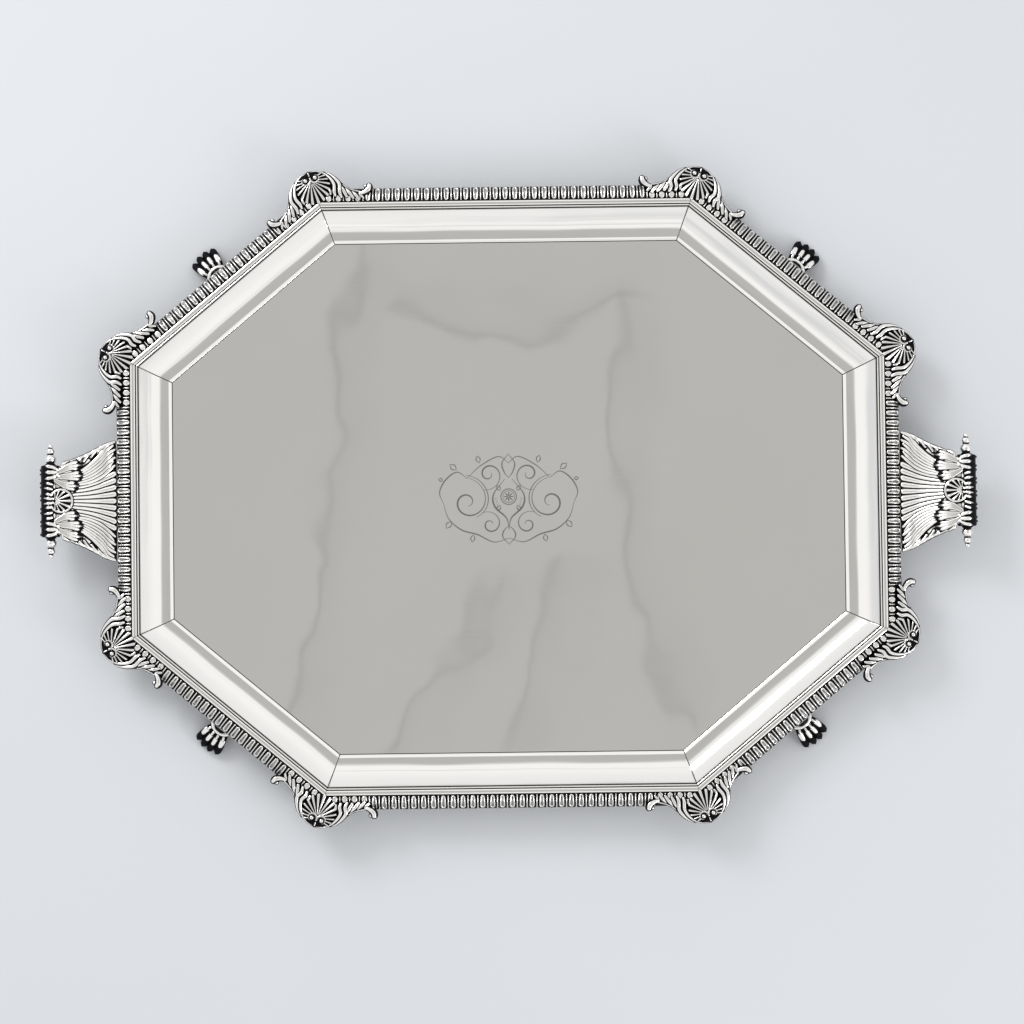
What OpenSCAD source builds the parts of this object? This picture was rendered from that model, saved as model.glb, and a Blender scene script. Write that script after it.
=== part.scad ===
// Two-handled octagonal silver salver on four lion's-paw feet.
//
// The salver stands on z = 0 with its long axis along X. Most pieces are laid out in the frame of
// one side of the octagon: s runs outward from the outer edge of the flat fillet, t runs along the
// side, and z is the height above the table.

/* [Plan] */
// Length over the flat fillet, between the two short sides
rim_length = 598; // [570:1:630]
// Width over the flat fillet, between the two long sides
rim_width = 470; // [450:1:490]
// Length of each long side, measured along the fillet
long_side = 296; // [285:1:305]
// Length of each short side, measured along the fillet
short_side = 218; // [210:1:226]

/* [Heights] */
// Height of the well's upper face above the table
well_height = 16; // [15:0.5:20]
// Depth of the well below the top of the rim
well_depth = 15; // [13:0.5:16]
// Thickness of the rolled silver sheet
sheet = 1.4; // [1.2:0.1:1.8]

/* [Border] */
// Width from the fillet's outer edge in to the flat of the well
bouge_width = 32; // [30:0.5:35]
// Width of the tongue-and-dart band
band_width = 12.6; // [12:0.1:13.5]
// Wanted distance from one tongue to the next
tongue_pitch = 7.76; // [7.5:0.02:8.4]
// Tongues shortened by the leaf at each end of a side
short_tongues = 4; // [3:1:5]

/* [Corner mounts] */
// Radius of the shell at each corner
shell_radius = 13; // [12:0.5:14]
// Distance from the corner of the fillet out to the middle of the shell
shell_offset = 12.7; // [12:0.1:14]
// Ribs on a corner shell
shell_ribs = 9; // [7:2:11]

/* [Handles] */
// Reach of a handle beyond the fillet's outer edge
handle_reach = 71.5; // [68:0.5:75]
// Half the width of a handle where it meets the border
handle_root = 49; // [46:0.5:50]
// Half the width of a handle at its roll
handle_neck = 28.5; // [27:0.5:30]
// Radius of the roll at the end of a handle
roll_radius = 8; // [7.5:0.1:8.5]

/* [Feet] */
// Half the spread of the four toes of a paw
toe_spread = 24; // [20:1:28]
// Distance of the middle of a paw beyond the fillet's outer edge
paw_offset = 20; // [19:0.5:21]

/* [Hidden] */
SIDES = ["e", "ne", "n", "nw", "w", "sw", "s", "se"];
CORNERS = ["ene", "nne", "nnw", "wnw", "wsw", "ssw", "sse", "ese"];

SILVER = [0.83, 0.82, 0.80];
OXIDISED = [0.62, 0.61, 0.60];
$fn = 48;

// Plan of the octagon, worked out from its four driving dimensions.
half_length = rim_length / 2;
half_width = rim_width / 2;
cut_x = half_length - long_side / 2;
cut_y = half_width - short_side / 2;
diagonal_side = norm([cut_x, cut_y]);
diagonal_angle = atan2(cut_x, cut_y);
side_angles = [0, diagonal_angle, 90, 180 - diagonal_angle,
               180, 180 + diagonal_angle, 270, 360 - diagonal_angle];
function side_angle(i) = side_angles[i % 8];
function side_length(i) = i % 2 == 1 ? diagonal_side : (i % 4 == 0 ? short_side : long_side);
function side_middle(i) =
    i % 4 == 0 ? [half_length * cos(side_angle(i)), 0]
    : i % 4 == 2 ? [0, half_width * sin(side_angle(i))]
    : [sign(cos(side_angle(i))) * (half_length - cut_x / 2),
       sign(sin(side_angle(i))) * (half_width - cut_y / 2)];
// Angle turned at the corner after side i.
function turn_after(i) = (side_angle(i + 1) - side_angle(i) + 360) % 360;
function turn_before(i) = turn_after((i + 7) % 8);
function corner_angle(i) = side_angle(i) + turn_after(i) / 2;
function corner_point(i) =
    side_middle(i) + side_length(i) / 2 * [-sin(side_angle(i)), cos(side_angle(i))];

// Heights of the section.
rim_z = well_height + well_depth;
flange_z = rim_z - 2.4;

// Section of the bouge: a bead at the foot, then a cove that steepens towards the rim.
well_edge = -bouge_width;
bead_run = 2;
bead_rise = 1.3;
cove_start = well_edge + bead_run + 0.4;
cove_foot = well_height + bead_rise - 0.1;
cove_end = -6.2;
cove_run = cove_end - cove_start;
cove_rise = rim_z - 1.6 - cove_foot;
cove_radius = (cove_run * cove_run + cove_rise * cove_rise) / (2 * cove_rise);
cove_angle = asin(cove_run / cove_radius);
outer_cove = cove_radius + sheet;
flange_angle = acos((cove_foot + cove_radius - flange_z + sheet) / outer_cove);
lap = 4;
lap_step = sheet / 2;

// Section of the band, an ovolo: the ground, and the tongues that stand proud of it.
ovolo_z = rim_z - 7.4;
ground_rise = 5.6;
ground_reach = band_width - 1.4;
dart_rise = 6.9;
dart_reach = band_width - 0.4;
band_underside = rim_z - 8.4;
inner_half = 5.6;
leaf_reach = (short_tongues + 0.5) * tongue_pitch;

// Heights of the corner castings.
casting_top = rim_z - 3.4;
casting_bottom = rim_z - 7.4;

// Section of the handle.
roll_s = handle_reach - roll_radius;
roll_z = rim_z + 1.5;
plate_thickness = 3;
spindle_radius = 2.5;
spindle_end = handle_neck + 6;
medallion_s = roll_s - 12.7;

// A point on a cubic curve through four control points.
function cubic(p, u) =
    pow(1 - u, 3) * p[0] + 3 * pow(1 - u, 2) * u * p[1]
    + 3 * (1 - u) * u * u * p[2] + pow(u, 3) * p[3];
function curve(p, steps) = [for (k = [0:steps]) cubic(p, k / steps)];
function reversed(list) = [for (k = [len(list) - 1:-1:0]) list[k]];

// Carries children from the frame of side i into the salver's frame.
module at_side(i) {
    translate(side_middle(i)) rotate(side_angle(i)) children();
}

// Plan of side i from s0 out to s1, mitred at both corners.
module mitred_plan(i, s0, s1) {
    half = side_length(i) / 2;
    before = tan(turn_before(i) / 2);
    after = tan(turn_after(i) / 2);
    polygon([[s0, -half - s0 * before], [s1, -half - s1 * before],
             [s1, half + s1 * after], [s0, half + s0 * after]]);
}

// A straight length of moulding with the section given in (s, z).
module moulding(section, length) {
    translate([0, length / 2, 0]) rotate([90, 0, 0]) linear_extrude(length) polygon(section);
}

// The same moulding, cut to the mitred plan of side i.
module mitred_moulding(i, section, s0, s1) {
    intersection() {
        moulding(section, side_length(i) + 4 * band_width);
        linear_extrude(rim_z + 10) mitred_plan(i, s0, s1);
    }
}

// The octagon of the fillet's outer edge, moved out by s.
module octagon(s) {
    polygon([for (i = [0:7])
        corner_point(i)
        + s / cos(turn_after(i) / 2) * [cos(corner_angle(i)), sin(corner_angle(i))]]);
}

// Flat of the well, with a thinner edge that laps under the bouge.
module well_plate() {
    color(SILVER) {
        translate([0, 0, well_height - lap_step]) linear_extrude(lap_step) octagon(well_edge);
        translate([0, 0, well_height - sheet]) linear_extrude(sheet - lap_step)
            octagon(well_edge + lap);
    }
}

// One length of the hollow, sloping wall between the well and the rim.
bouge_section = concat(
    [for (a = [0:18:90]) [well_edge + bead_run * (1 - cos(a)), well_height + bead_rise * sin(a)]],
    [for (k = [0:16]) let (a = cove_angle * k / 16)
        [cove_start + cove_radius * sin(a), cove_foot + cove_radius * (1 - cos(a))]],
    [[cove_end, flange_z], [2, flange_z], [2, flange_z - sheet]],
    [for (k = [0:12]) let (a = flange_angle * (1 - k / 12) + 4 * k / 12)
        [cove_start + outer_cove * sin(a), cove_foot + cove_radius - outer_cove * cos(a)]],
    [[well_edge + lap, well_height - lap_step], [well_edge, well_height - lap_step]]);
module bouge(i) {
    color(SILVER) at_side(i) mitred_moulding(i, bouge_section, well_edge, 2);
}

// Drawn wire soldered on the flange: a small bead, a groove and the flat fillet.
rim_wire_section = concat(
    [[cove_end, flange_z]],
    [for (a = [180:-30:0]) [cove_end + 0.9 + 0.9 * cos(a), flange_z + 1.3 + 0.8 * sin(a)]],
    [[cove_end + 2, flange_z + 0.9], [cove_end + 2.5, flange_z + 0.9],
     [cove_end + 2.8, rim_z], [0, rim_z], [0, flange_z]]);
module rim_wire(i) {
    color(SILVER) at_side(i) mitred_moulding(i, rim_wire_section, cove_end, 0);
}

// Ovolo of a given reach and rise, closed below by the underside of the casting.
function ovolo_section(reach, rise, facets) = concat(
    [for (k = [0:facets]) let (a = 90 * k / facets) [reach * sin(a), ovolo_z + rise * cos(a)]],
    [[reach, band_underside], [9.8, band_underside], [2, flange_z - sheet], [2, flange_z],
     [0, flange_z]]);

// Plan of a whole tongue: round at the fillet, broader at the outer edge.
tongue_plan = concat(
    [for (a = [104:50.6:256]) [2.5 + 1.8 * cos(a), 1.8 * sin(a)]],
    [for (a = [-76:50.6:76]) [band_width - 2.5 + 2.3 * cos(a), 2.3 * sin(a)]]);
// Plan of the shortened tongue that shows between the leaf and the fillet.
short_plan = concat(
    [for (a = [100:40:260]) [2.6 + 1.9 * cos(a), 1.9 * sin(a)]],
    [[inner_half - 0.1, -1], [inner_half - 0.1, 1]]);
dart_width = 0.8;

// One cast length of tongue-and-dart border, cut back to half its width beside the corner leaves.
module tongue_band(i) {
    count = round(side_length(i) / tongue_pitch);
    pitch = side_length(i) / count;
    full_half = side_length(i) / 2 - (short_tongues + 0.5) * pitch;
    color(OXIDISED) at_side(i) difference() {
        union() {
            intersection() {
                moulding(ovolo_section(ground_reach, ground_rise, 3),
                         side_length(i) + 2 * band_width);
                union() {
                    linear_extrude(rim_z + 10) mitred_plan(i, 0, inner_half);
                    translate([0, -full_half, 0]) cube([band_width, 2 * full_half, rim_z + 10]);
                }
            }
            intersection() {
                moulding(ovolo_section(dart_reach, dart_rise, 3), side_length(i));
                translate([0, 0, band_underside]) linear_extrude(20) union()
                    for (k = [1:count - 2]) {
                        whole = k >= short_tongues && k < count - short_tongues;
                        translate([0, (k + 0.5 - count / 2) * pitch - dart_width / 2])
                            square([whole ? dart_reach : inner_half - 0.1, dart_width]);
                    }
            }
            intersection() {
                moulding(ovolo_section(band_width, rim_z - ovolo_z, 4), side_length(i));
                translate([0, 0, band_underside]) linear_extrude(20) union()
                    for (k = [1:count - 1])
                        translate([0, (k - count / 2) * pitch])
                            polygon(k > short_tongues && k < count - short_tongues
                                    ? tongue_plan : short_plan);
            }
        }
        for (end = [-1, 1]) {
            turn = end > 0 ? turn_after(i) : turn_before(i);
            translate([shell_offset * cos(turn / 2),
                       end * (side_length(i) / 2 + shell_offset * sin(turn / 2)), 0])
                cylinder(r = shell_radius - 0.4, h = rim_z + 10);
        }
    }
}

// A tapering rib from a to b with a round tip at b. The tip is a little fuller than the rib.
module rib(a, b, ra, rb) {
    d = b - a;
    translate(a) rotate([0, acos(d[2] / norm(d)), atan2(d[1], d[0])])
        cylinder(r1 = ra, r2 = rb, h = norm(d), $fn = 24);
    translate(b) sphere(r = rb * 1.06, $fn = 24);
}

// Plan of one leaf, from the shell to the root of its curled tip, as (s, distance from the corner).
leaf_edge = curve([[12.6, leaf_reach + 2], [12, 29], [13.4, 21], [24.6, 11]], 7);
leaf_plan = concat([[inner_half - 1.5, 3], [inner_half - 1.5, leaf_reach - 4], [8, leaf_reach + 0.4]],
                   leaf_edge, [[25.4, 5], [18, 0], [9, 2]]);
// Lobes of the leaf: start and end in (s, distance from the corner), then both radii.
leaf_lobes = [
    [[23.5, 5], [9.5, 13.5], 1.3, 2.1],
    [[21.5, 9], [8.2, 19], 1.3, 2.1],
    [[17.5, 14.5], [8, 25], 1.3, 1.9],
    [[15, 19.5], [7.8, 30.5], 1.2, 1.7],
    [[13, 26], [9.4, 35], 1.1, 1.4]];
// Raised border along the leaf's outer edge.
edge_plan = concat(leaf_edge, [for (p = reversed(leaf_edge)) [p[0] - 1.9, p[1] - 0.9]]);
curl_s = 17.6;
curl_t = 39;

// One leaf in the side's frame, with t measured from the corner.
module leaf() {
    translate([0, 0, casting_bottom]) linear_extrude(casting_top - casting_bottom) {
        polygon(leaf_plan);
        translate([curl_s, curl_t]) circle(r = 3.2);
        polygon([[11, leaf_reach], [curl_s, curl_t - 3], [curl_s - 1, curl_t + 2.6], [12, curl_t - 1]]);
    }
    for (l = leaf_lobes)
        rib([l[0][0], l[0][1], casting_top], [l[1][0], l[1][1], casting_top], l[2], l[3]);
    translate([0, 0, casting_bottom]) linear_extrude(casting_top - casting_bottom + 1.5)
        polygon(edge_plan);
    translate([curl_s, curl_t, casting_top]) sphere(r = 2.9, $fn = 24);
}

// Cast mount at the corner after side i: a leaf along each side and the scroll round the shell.
module leaf_mount(i) {
    next = (i + 1) % 8;
    color(SILVER) difference() {
        union() {
            at_side(i) translate([0, side_length(i) / 2, 0]) mirror([0, 1, 0]) leaf();
            at_side(next) translate([0, -side_length(next) / 2, 0]) leaf();
            translate(corner_point(i)) rotate(corner_angle(i)) translate([shell_offset, 0, 0]) {
                translate([0, 0, casting_bottom + 0.8])
                    cylinder(r = shell_radius - 0.7, h = casting_top - casting_bottom - 0.8);
                translate([0, 0, casting_top]) rotate(-100)
                    rotate_extrude(angle = 200) translate([shell_radius + 0.7, 0]) circle(r = 1.5);
            }
        }
        // Keeps clear of both bands, and leaves the seat for the shell.
        for (k = [i, next]) at_side(k) translate([-50, -side_length(k) / 2 - 8, 0])
            cube([50 + inner_half, side_length(k) + 16, rim_z + 10]);
        translate(corner_point(i)) rotate(corner_angle(i)) translate([shell_offset, 0, casting_top])
            cylinder(r = shell_radius - 0.4, h = 20);
    }
}

// Cast scallop shell: ribs fanned from its base, with a volute ball either side of the base.
module shell(i) {
    base = 5;
    rim = shell_radius - 1.6;
    color(SILVER) translate(corner_point(i)) rotate(corner_angle(i)) translate([shell_offset, 0, 0]) {
        intersection() {
            union() {
                translate([0, 0, casting_top])
                    cylinder(r = shell_radius - 0.5, h = rim_z - casting_top + 0.8);
                translate([0, 0, rim_z + 0.6]) for (k = [0:shell_ribs - 1]) {
                    a = 180 + 104 * (2 * k / (shell_ribs - 1) - 1);
                    length = base * cos(a + 180) + sqrt(rim * rim - pow(base * sin(a), 2));
                    rib([base + 2 * cos(a), 2 * sin(a), 0.4],
                        [base + length * cos(a), length * sin(a), 0.5], 0.8, 2);
                }
                for (side = [-1, 1])
                    translate([base + 0.5, 3.3 * side, rim_z + 1]) sphere(r = 2.5, $fn = 24);
            }
            // Below the rim the shell stays inside its seat and off the fillet.
            union() {
                translate([0, 0, rim_z]) cylinder(r = shell_radius + 3, h = 10);
                translate([0, 0, casting_top]) cylinder(r = shell_radius - 0.5, h = 5);
            }
        }
    }
}

// Section of the handle's plate in (s, z), rising from under the border to the top of the roll.
handle_upper = curve([[band_width + 0.4, rim_z - 6.5], [30, rim_z - 6.5],
                      [47.6, rim_z + 4.2], [roll_s - 2.7, rim_z + 9]], 14);
handle_lower = curve([[band_width + 0.4, rim_z - 9.5], [31, rim_z - 9.5],
                      [49, rim_z + 1], [roll_s - 3, rim_z + 5]], 14);
function raised(points, dz) = [for (p = points) [p[0], p[1] + dz]];
handle_edge = curve([[band_width, handle_root], [30, handle_root - 9],
                     [45, handle_neck + 4], [roll_s - 4, handle_neck]], 10);
// The tang lies under the border and is soldered against the bouge.
tang = [[3, band_underside - 3], [band_width + 1, band_underside - 3],
        [band_width + 1, band_underside], [3, band_underside]];

module handle_plan() {
    polygon(concat(handle_edge, [[handle_reach, handle_neck], [handle_reach, -handle_neck]],
                   [for (p = reversed(handle_edge)) [p[0], -p[1]]]));
}

// Everything of the plan shape given as children, between the plate and dz above it.
module on_handle(dz) {
    intersection() {
        moulding(concat(raised(handle_upper, dz), reversed(handle_lower)), 2 * handle_root);
        linear_extrude(rim_z + 30) intersection() {
            handle_plan();
            children();
        }
    }
}

// Flutes that fan from the medallion to the border.
module flutes() {
    for (k = [-4:4]) {
        root = 5.2 * k;
        waist = 2.6 * k;
        tip = 1.7 * k;
        polygon([[band_width + 3.4, root - 2.2], [band_width + 1.6, root - 1],
                 [band_width + 1.6, root + 1], [band_width + 3.4, root + 2.2],
                 [30, waist + 1], [medallion_s - 4, tip + 0.6],
                 [medallion_s - 4, tip - 0.6], [30, waist - 1]]);
    }
}

// One rounded lobe of a leaf in plan, from its stem to its tip.
module blade(from, to, stem, tip) {
    along = (to - from) / norm(to - from);
    across = [-along[1], along[0]];
    polygon([from + stem * across, from - stem * across, to - 3 * along - tip * across,
             to - tip * 0.6 * across, to + tip * 0.6 * across, to - 3 * along + tip * across]);
}

// Broad acanthus leaf that sweeps from the roll to the outer corner of the handle.
module acanthus() {
    for (k = [0:5])
        blade([roll_s - 9, 15 + 1.2 * k], [band_width + 2 + 0.4 * k * k, 25.5 + 4.3 * k], 1.2, 1.9);
    for (k = [0:2])
        blade([roll_s - 6 - 6 * k, 19 + 2 * k], [43 - 7 * k, 31 + 3.4 * k], 1.4, 2.2);
}

// Shorter leaf that hangs over it from the roll.
module overleaf() {
    blade([roll_s - 1, 18], [37.5, 25], 3.4, 2.6);
    blade([roll_s - 1, 14], [39.5, 17.5], 2.4, 2);
    blade([roll_s - 1, 21], [45, 30], 2.6, 2.2);
    blade([roll_s - 4, 12], [44, 11.8], 1.6, 1.6);
}

// Cast handle: palmette plate, acanthus leaves, medallion, and the roll bored for its spindle.
module handle(i) {
    color(SILVER) at_side(i) difference() {
        union() {
            on_handle(0) translate([0, -handle_root]) square([handle_reach, 2 * handle_root]);
            on_handle(1.8) flutes();
            for (side = [0, 1]) mirror([0, side, 0]) {
                on_handle(1.6) acanthus();
                on_handle(2.8) overleaf();
            }
            moulding(tang, 2 * handle_root - 16);
            translate([0, -handle_neck, 0]) rotate([-90, 0, 0]) translate([roll_s, -roll_z, 0])
                cylinder(r = roll_radius, h = 2 * handle_neck);
            translate([medallion_s, 0, rim_z + 3]) {
                cylinder(r = 8.4, h = 6.5);
                translate([0, 0, 6.5]) for (k = [0:10]) rotate(k * 360 / 11)
                    rib([1, 0, 0], [5.6, 0, 0], 0.6, 1.2);
            }
        }
        translate([roll_s, -handle_neck - 1, roll_z]) rotate([-90, 0, 0])
            cylinder(r = spindle_radius, h = 2 * handle_neck + 2);
    }
}

// Rod through the roll, which carries a finial on each end.
module spindle(i) {
    color(SILVER) at_side(i) translate([roll_s, -spindle_end, roll_z]) rotate([-90, 0, 0])
        cylinder(r = spindle_radius, h = 2 * spindle_end);
}

// Turned finial: a broad ball, a neck, a smaller ball and a button, bored to go over the rod.
function ball(centre, radius, from, to) =
    [for (k = [0:8]) let (a = from + (to - from) * k / 8) [radius * sin(a), centre - radius * cos(a)]];
finial_outline = concat(
    [[0, 0], [4.2, 0], [4.2, 0.8]],
    ball(4.6, 4.6, 40, 138), [[2.6, 8.8]],
    ball(11, 3.5, 52, 130), [[1.7, 13.9]],
    ball(15, 1.9, 55, 175), [[0, 16.9]]);
module finial(i, side) {
    color(SILVER) at_side(i) translate([roll_s, side * handle_neck, roll_z]) rotate([-90 * side, 0, 0])
        difference() {
            rotate_extrude() polygon(finial_outline);
            translate([0, 0, -1]) cylinder(r = spindle_radius, h = spindle_end - handle_neck + 1);
        }
}

// Cast lion's paw: four knuckled toes with claws, a heel and an ankle, flat where it stands.
module paw(i) {
    color(SILVER) at_side(i) intersection() {
        translate([-10, -30, 0]) cube([60, 60, paw_top]);
        union() {
            translate([paw_offset - 5, 0, 0]) cylinder(r = 8, h = 6);
            translate([paw_offset - 4, 0, 8.6]) sphere(r = 7.6);
            for (k = [-1.5:1:1.5]) translate([paw_offset - 3, 2.6 * k, 0]) rotate(k * toe_spread / 1.5) {
                rib([0, 0, 8], [7.2, 0, 8], 3.2, 3.5);
                rib([7.2, 0, 8], [13, 0, 3.2], 3.3, 3);
                rib([13, 0, 3], [16.4, 0, 1.2], 1.7, 0.8);
            }
            rib([paw_offset - 5, 0, 9], [6, 0, paw_top - 2], 6.6, 4.4);
            translate([10.6, 0, 14.2]) rotate([0, -38, 0]) rotate_extrude()
                translate([5.6, 0]) circle(r = 1.5);
            translate([4.6, 0, paw_top - 2.4]) cylinder(r = 5.2, h = 2.4);
        }
    }
}
paw_top = band_underside - 1.6;

// Shaped plate that spreads each foot's load under the border and the bouge.
module foot_bracket(i) {
    color(SILVER) at_side(i) intersection() {
        translate([0, 0, paw_top]) linear_extrude(20) {
            for (k = [-1:1]) translate([3 + 2 * abs(k), 8 * k]) circle(r = 7.5);
            translate([7, 0]) circle(r = 8);
        }
        moulding([[-2, paw_top], [11, paw_top], [11, band_underside], [9.8, band_underside],
                  [2, flange_z - sheet], [-2, flange_z - sheet]], 60);
    }
}

well_plate();
for (i = [0:7]) {
    bouge(i);
    rim_wire(i);
    tongue_band(i);
    leaf_mount(i);
    shell(i);
}
handle(0);  // handle_e
handle(4);  // handle_w
spindle(0);  // spindle_e
spindle(4);  // spindle_w
finial(0, 1);  // finial_e_n
finial(0, -1);  // finial_e_s
finial(4, -1);  // finial_w_n
finial(4, 1);  // finial_w_s
for (i = [1:2:7]) {
    paw(i);
    foot_bracket(i);
}
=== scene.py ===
import math

import bpy
import numpy as np
from mathutils import Matrix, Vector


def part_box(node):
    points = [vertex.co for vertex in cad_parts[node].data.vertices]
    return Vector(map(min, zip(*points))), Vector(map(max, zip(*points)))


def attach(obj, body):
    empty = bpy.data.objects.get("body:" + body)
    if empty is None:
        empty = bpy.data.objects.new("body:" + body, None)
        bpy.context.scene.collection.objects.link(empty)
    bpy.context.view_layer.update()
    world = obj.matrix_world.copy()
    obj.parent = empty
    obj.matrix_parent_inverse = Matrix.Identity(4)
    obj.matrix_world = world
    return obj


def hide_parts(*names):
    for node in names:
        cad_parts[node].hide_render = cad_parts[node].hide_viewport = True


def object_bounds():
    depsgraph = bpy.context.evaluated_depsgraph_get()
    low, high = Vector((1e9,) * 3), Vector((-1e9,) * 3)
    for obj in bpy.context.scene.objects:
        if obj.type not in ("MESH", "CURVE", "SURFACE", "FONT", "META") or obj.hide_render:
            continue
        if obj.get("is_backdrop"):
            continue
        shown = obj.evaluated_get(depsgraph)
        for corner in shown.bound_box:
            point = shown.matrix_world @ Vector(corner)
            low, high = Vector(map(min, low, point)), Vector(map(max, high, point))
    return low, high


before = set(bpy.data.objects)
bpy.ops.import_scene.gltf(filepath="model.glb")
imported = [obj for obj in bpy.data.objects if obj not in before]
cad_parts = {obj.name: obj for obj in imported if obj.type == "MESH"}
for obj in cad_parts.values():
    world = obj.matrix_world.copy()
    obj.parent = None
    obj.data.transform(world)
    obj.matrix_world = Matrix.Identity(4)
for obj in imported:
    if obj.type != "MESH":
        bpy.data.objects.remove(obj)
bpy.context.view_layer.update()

# ---------------------------------------------------------------------------------------------
# Plan of the salver. A silversmith sets the tray out from the octagon of its flat fillet: two
# long sides, two short ends and four diagonals. Each side has its own s (outward from the
# fillet), t (along the side) and z, in millimetres, and each corner its own u outward, v across.
low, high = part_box("rim_wire_e")
end_x, rim_z, short_side = high.x * 1000, high.z * 1000, (high.y - low.y) * 1000
low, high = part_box("rim_wire_n")
side_y, long_side = high.y * 1000, (high.x - low.x) * 1000
well_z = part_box("well_plate")[1].z * 1000

SIDES = ["e", "ne", "n", "nw", "w", "sw", "s", "se"]
CORNERS = ["ene", "nne", "nnw", "wnw", "wsw", "ssw", "sse", "ese"]
corner_points = np.array([
    (end_x, short_side / 2), (long_side / 2, side_y), (-long_side / 2, side_y),
    (-end_x, short_side / 2), (-end_x, -short_side / 2), (-long_side / 2, -side_y),
    (long_side / 2, -side_y), (end_x, -short_side / 2)])


def side_of(k):
    """Middle, outward angle, length and the two corner turns (before, after) of side k."""
    a, b = corner_points[k - 1], corner_points[k % 8]
    along = b - a
    angle = math.atan2(-along[0], along[1])

    def turn(i):
        p, q, r = corner_points[i - 2], corner_points[i - 1], corner_points[i % 8]
        e, f = q - p, r - q
        return math.acos(np.dot(e, f) / np.linalg.norm(e) / np.linalg.norm(f))

    return (a + b) / 2, angle, float(np.linalg.norm(along)), turn(k), turn(k + 1)


def side_matrix(k):
    middle, angle = side_of(k)[:2]
    return Matrix.Translation((middle[0] / 1000, middle[1] / 1000, 0)) @ Matrix.Rotation(angle, 4, "Z")


def silver_mesh(name, points, faces, oxide_and_shade=None, crease=40):
    """A mesh from points in millimetres, with a darkening mask that is 1 where oxide and painted shade darken the
    colour and 0 where it stays bright.
    """
    mesh = bpy.data.meshes.new(name)
    points = np.asarray(points, float) / 1000
    if isinstance(faces, np.ndarray):
        mesh.vertices.add(len(points))
        mesh.vertices.foreach_set("co", points.astype(np.float32).ravel())
        mesh.loops.add(faces.size)
        mesh.loops.foreach_set("vertex_index", faces.astype(np.int32).ravel())
        mesh.polygons.add(len(faces))
        mesh.polygons.foreach_set("loop_start", np.arange(0, faces.size, faces.shape[1], dtype=np.int32))
        mesh.update(calc_edges=True)
        mesh.validate()
    else:
        mesh.from_pydata([tuple(p) for p in points], [], [tuple(f) for f in faces])
        mesh.update()
    if oxide_and_shade is not None and len(oxide_and_shade) == len(mesh.vertices):
        # the darkening mask, oxide and painted shade, kept for the materials
        layer = mesh.attributes.new("oxide_and_shade", "FLOAT", "POINT")
        layer.data.foreach_set("value", np.clip(oxide_and_shade, 0, 1).astype(np.float32))
    mesh.shade_smooth()
    if crease:
        mesh.set_sharp_from_angle(angle=math.radians(crease))
    return mesh


def fit_piece(name, mesh, material, matrix, node):
    """One finished piece of the salver, fixed in place of its CAD node."""
    piece = bpy.data.objects.new(name, mesh)
    bpy.context.scene.collection.objects.link(piece)
    piece.matrix_world = matrix
    if not mesh.materials:
        mesh.materials.append(material)
    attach(piece, "root")
    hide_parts(node)
    return piece


# Rolled silver: sheet and drawn wire, planished, buffed and then handled for a century. It keeps
# a faint swell from the hammer, a haze of short scratches and a slightly warm, even colour.
def node(tree, kind, **settings):
    made = tree.nodes.new(kind)
    for key, value in settings.items():
        if key in made.inputs:
            made.inputs[key].default_value = value
        else:
            setattr(made, key, value)
    return made


def math_node(tree, operation, a, b=None, c=None):
    made = tree.nodes.new("ShaderNodeMath")
    made.operation = operation
    for socket, value in zip(made.inputs, (a, b, c)):
        if value is None:
            continue
        if isinstance(value, (int, float)):
            socket.default_value = value
        else:
            tree.links.new(value, socket)
    return made.outputs[0]


def mapped(tree, value, start, end, to_start, to_end, curve="SMOOTHSTEP"):
    """value carried from the range start..end to to_start..to_end, and held at its ends."""
    made = node(tree, "ShaderNodeMapRange", interpolation_type=curve)
    tree.links.new(value, made.inputs["Value"])
    for label, number in (("From Min", start), ("From Max", end), ("To Min", to_start), ("To Max", to_end)):
        made.inputs[label].default_value = number
    return made.outputs[0]


def mix_colour(tree, factor, a, b):
    made = tree.nodes.new("ShaderNodeMix")
    made.data_type = "RGBA"
    for socket, value in ((made.inputs[0], factor), (made.inputs[6], a), (made.inputs[7], b)):
        if isinstance(value, (int, float, tuple)):
            socket.default_value = value
        else:
            tree.links.new(value, socket)
    return made.outputs[2]


def new_group(name, inputs, outputs):
    group = bpy.data.node_groups.new(name, "ShaderNodeTree")
    for label, kind, value in inputs:
        socket = group.interface.new_socket(label, in_out="INPUT", socket_type=kind)
        socket.default_value = value
    for label, kind in outputs:
        group.interface.new_socket(label, in_out="OUTPUT", socket_type=kind)
    return group, group.nodes.new("NodeGroupInput"), group.nodes.new("NodeGroupOutput")


polish, p_in, p_out = new_group(
    "hand_polish",
    [("Silver", "NodeSocketColor", (0.9, 0.88, 0.85, 1)), ("Gloss", "NodeSocketFloat", 0.12),
     ("Scratches", "NodeSocketFloat", 0.5), ("Swell", "NodeSocketFloat", 0.5)],
    [("Colour", "NodeSocketColor"), ("Roughness", "NodeSocketFloat"), ("Height", "NodeSocketFloat")])
where = node(polish, "ShaderNodeTexCoord").outputs["Object"]
strokes = None
for turn, stretch in ((0.35, (9, 900, 9)), (-0.9, (12, 1400, 12)), (1.9, (7, 700, 7))):
    lay = node(polish, "ShaderNodeMapping")
    lay.inputs["Rotation"].default_value = (0, 0, turn)
    lay.inputs["Scale"].default_value = stretch
    polish.links.new(where, lay.inputs["Vector"])
    hair = node(polish, "ShaderNodeTexNoise", Scale=1.0, Detail=2.0, Roughness=0.6)
    polish.links.new(lay.outputs[0], hair.inputs["Vector"])
    fine = math_node(polish, "POWER", hair.outputs["Fac"], 5.0)
    strokes = fine if strokes is None else math_node(polish, "MAXIMUM", strokes, fine)
cloud = node(polish, "ShaderNodeTexNoise", Scale=9.0, Detail=4.0, Roughness=0.55)
polish.links.new(where, cloud.inputs["Vector"])
swell = node(polish, "ShaderNodeTexNoise", Scale=14.0, Detail=1.0, Roughness=0.4)
polish.links.new(where, swell.inputs["Vector"])
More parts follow.
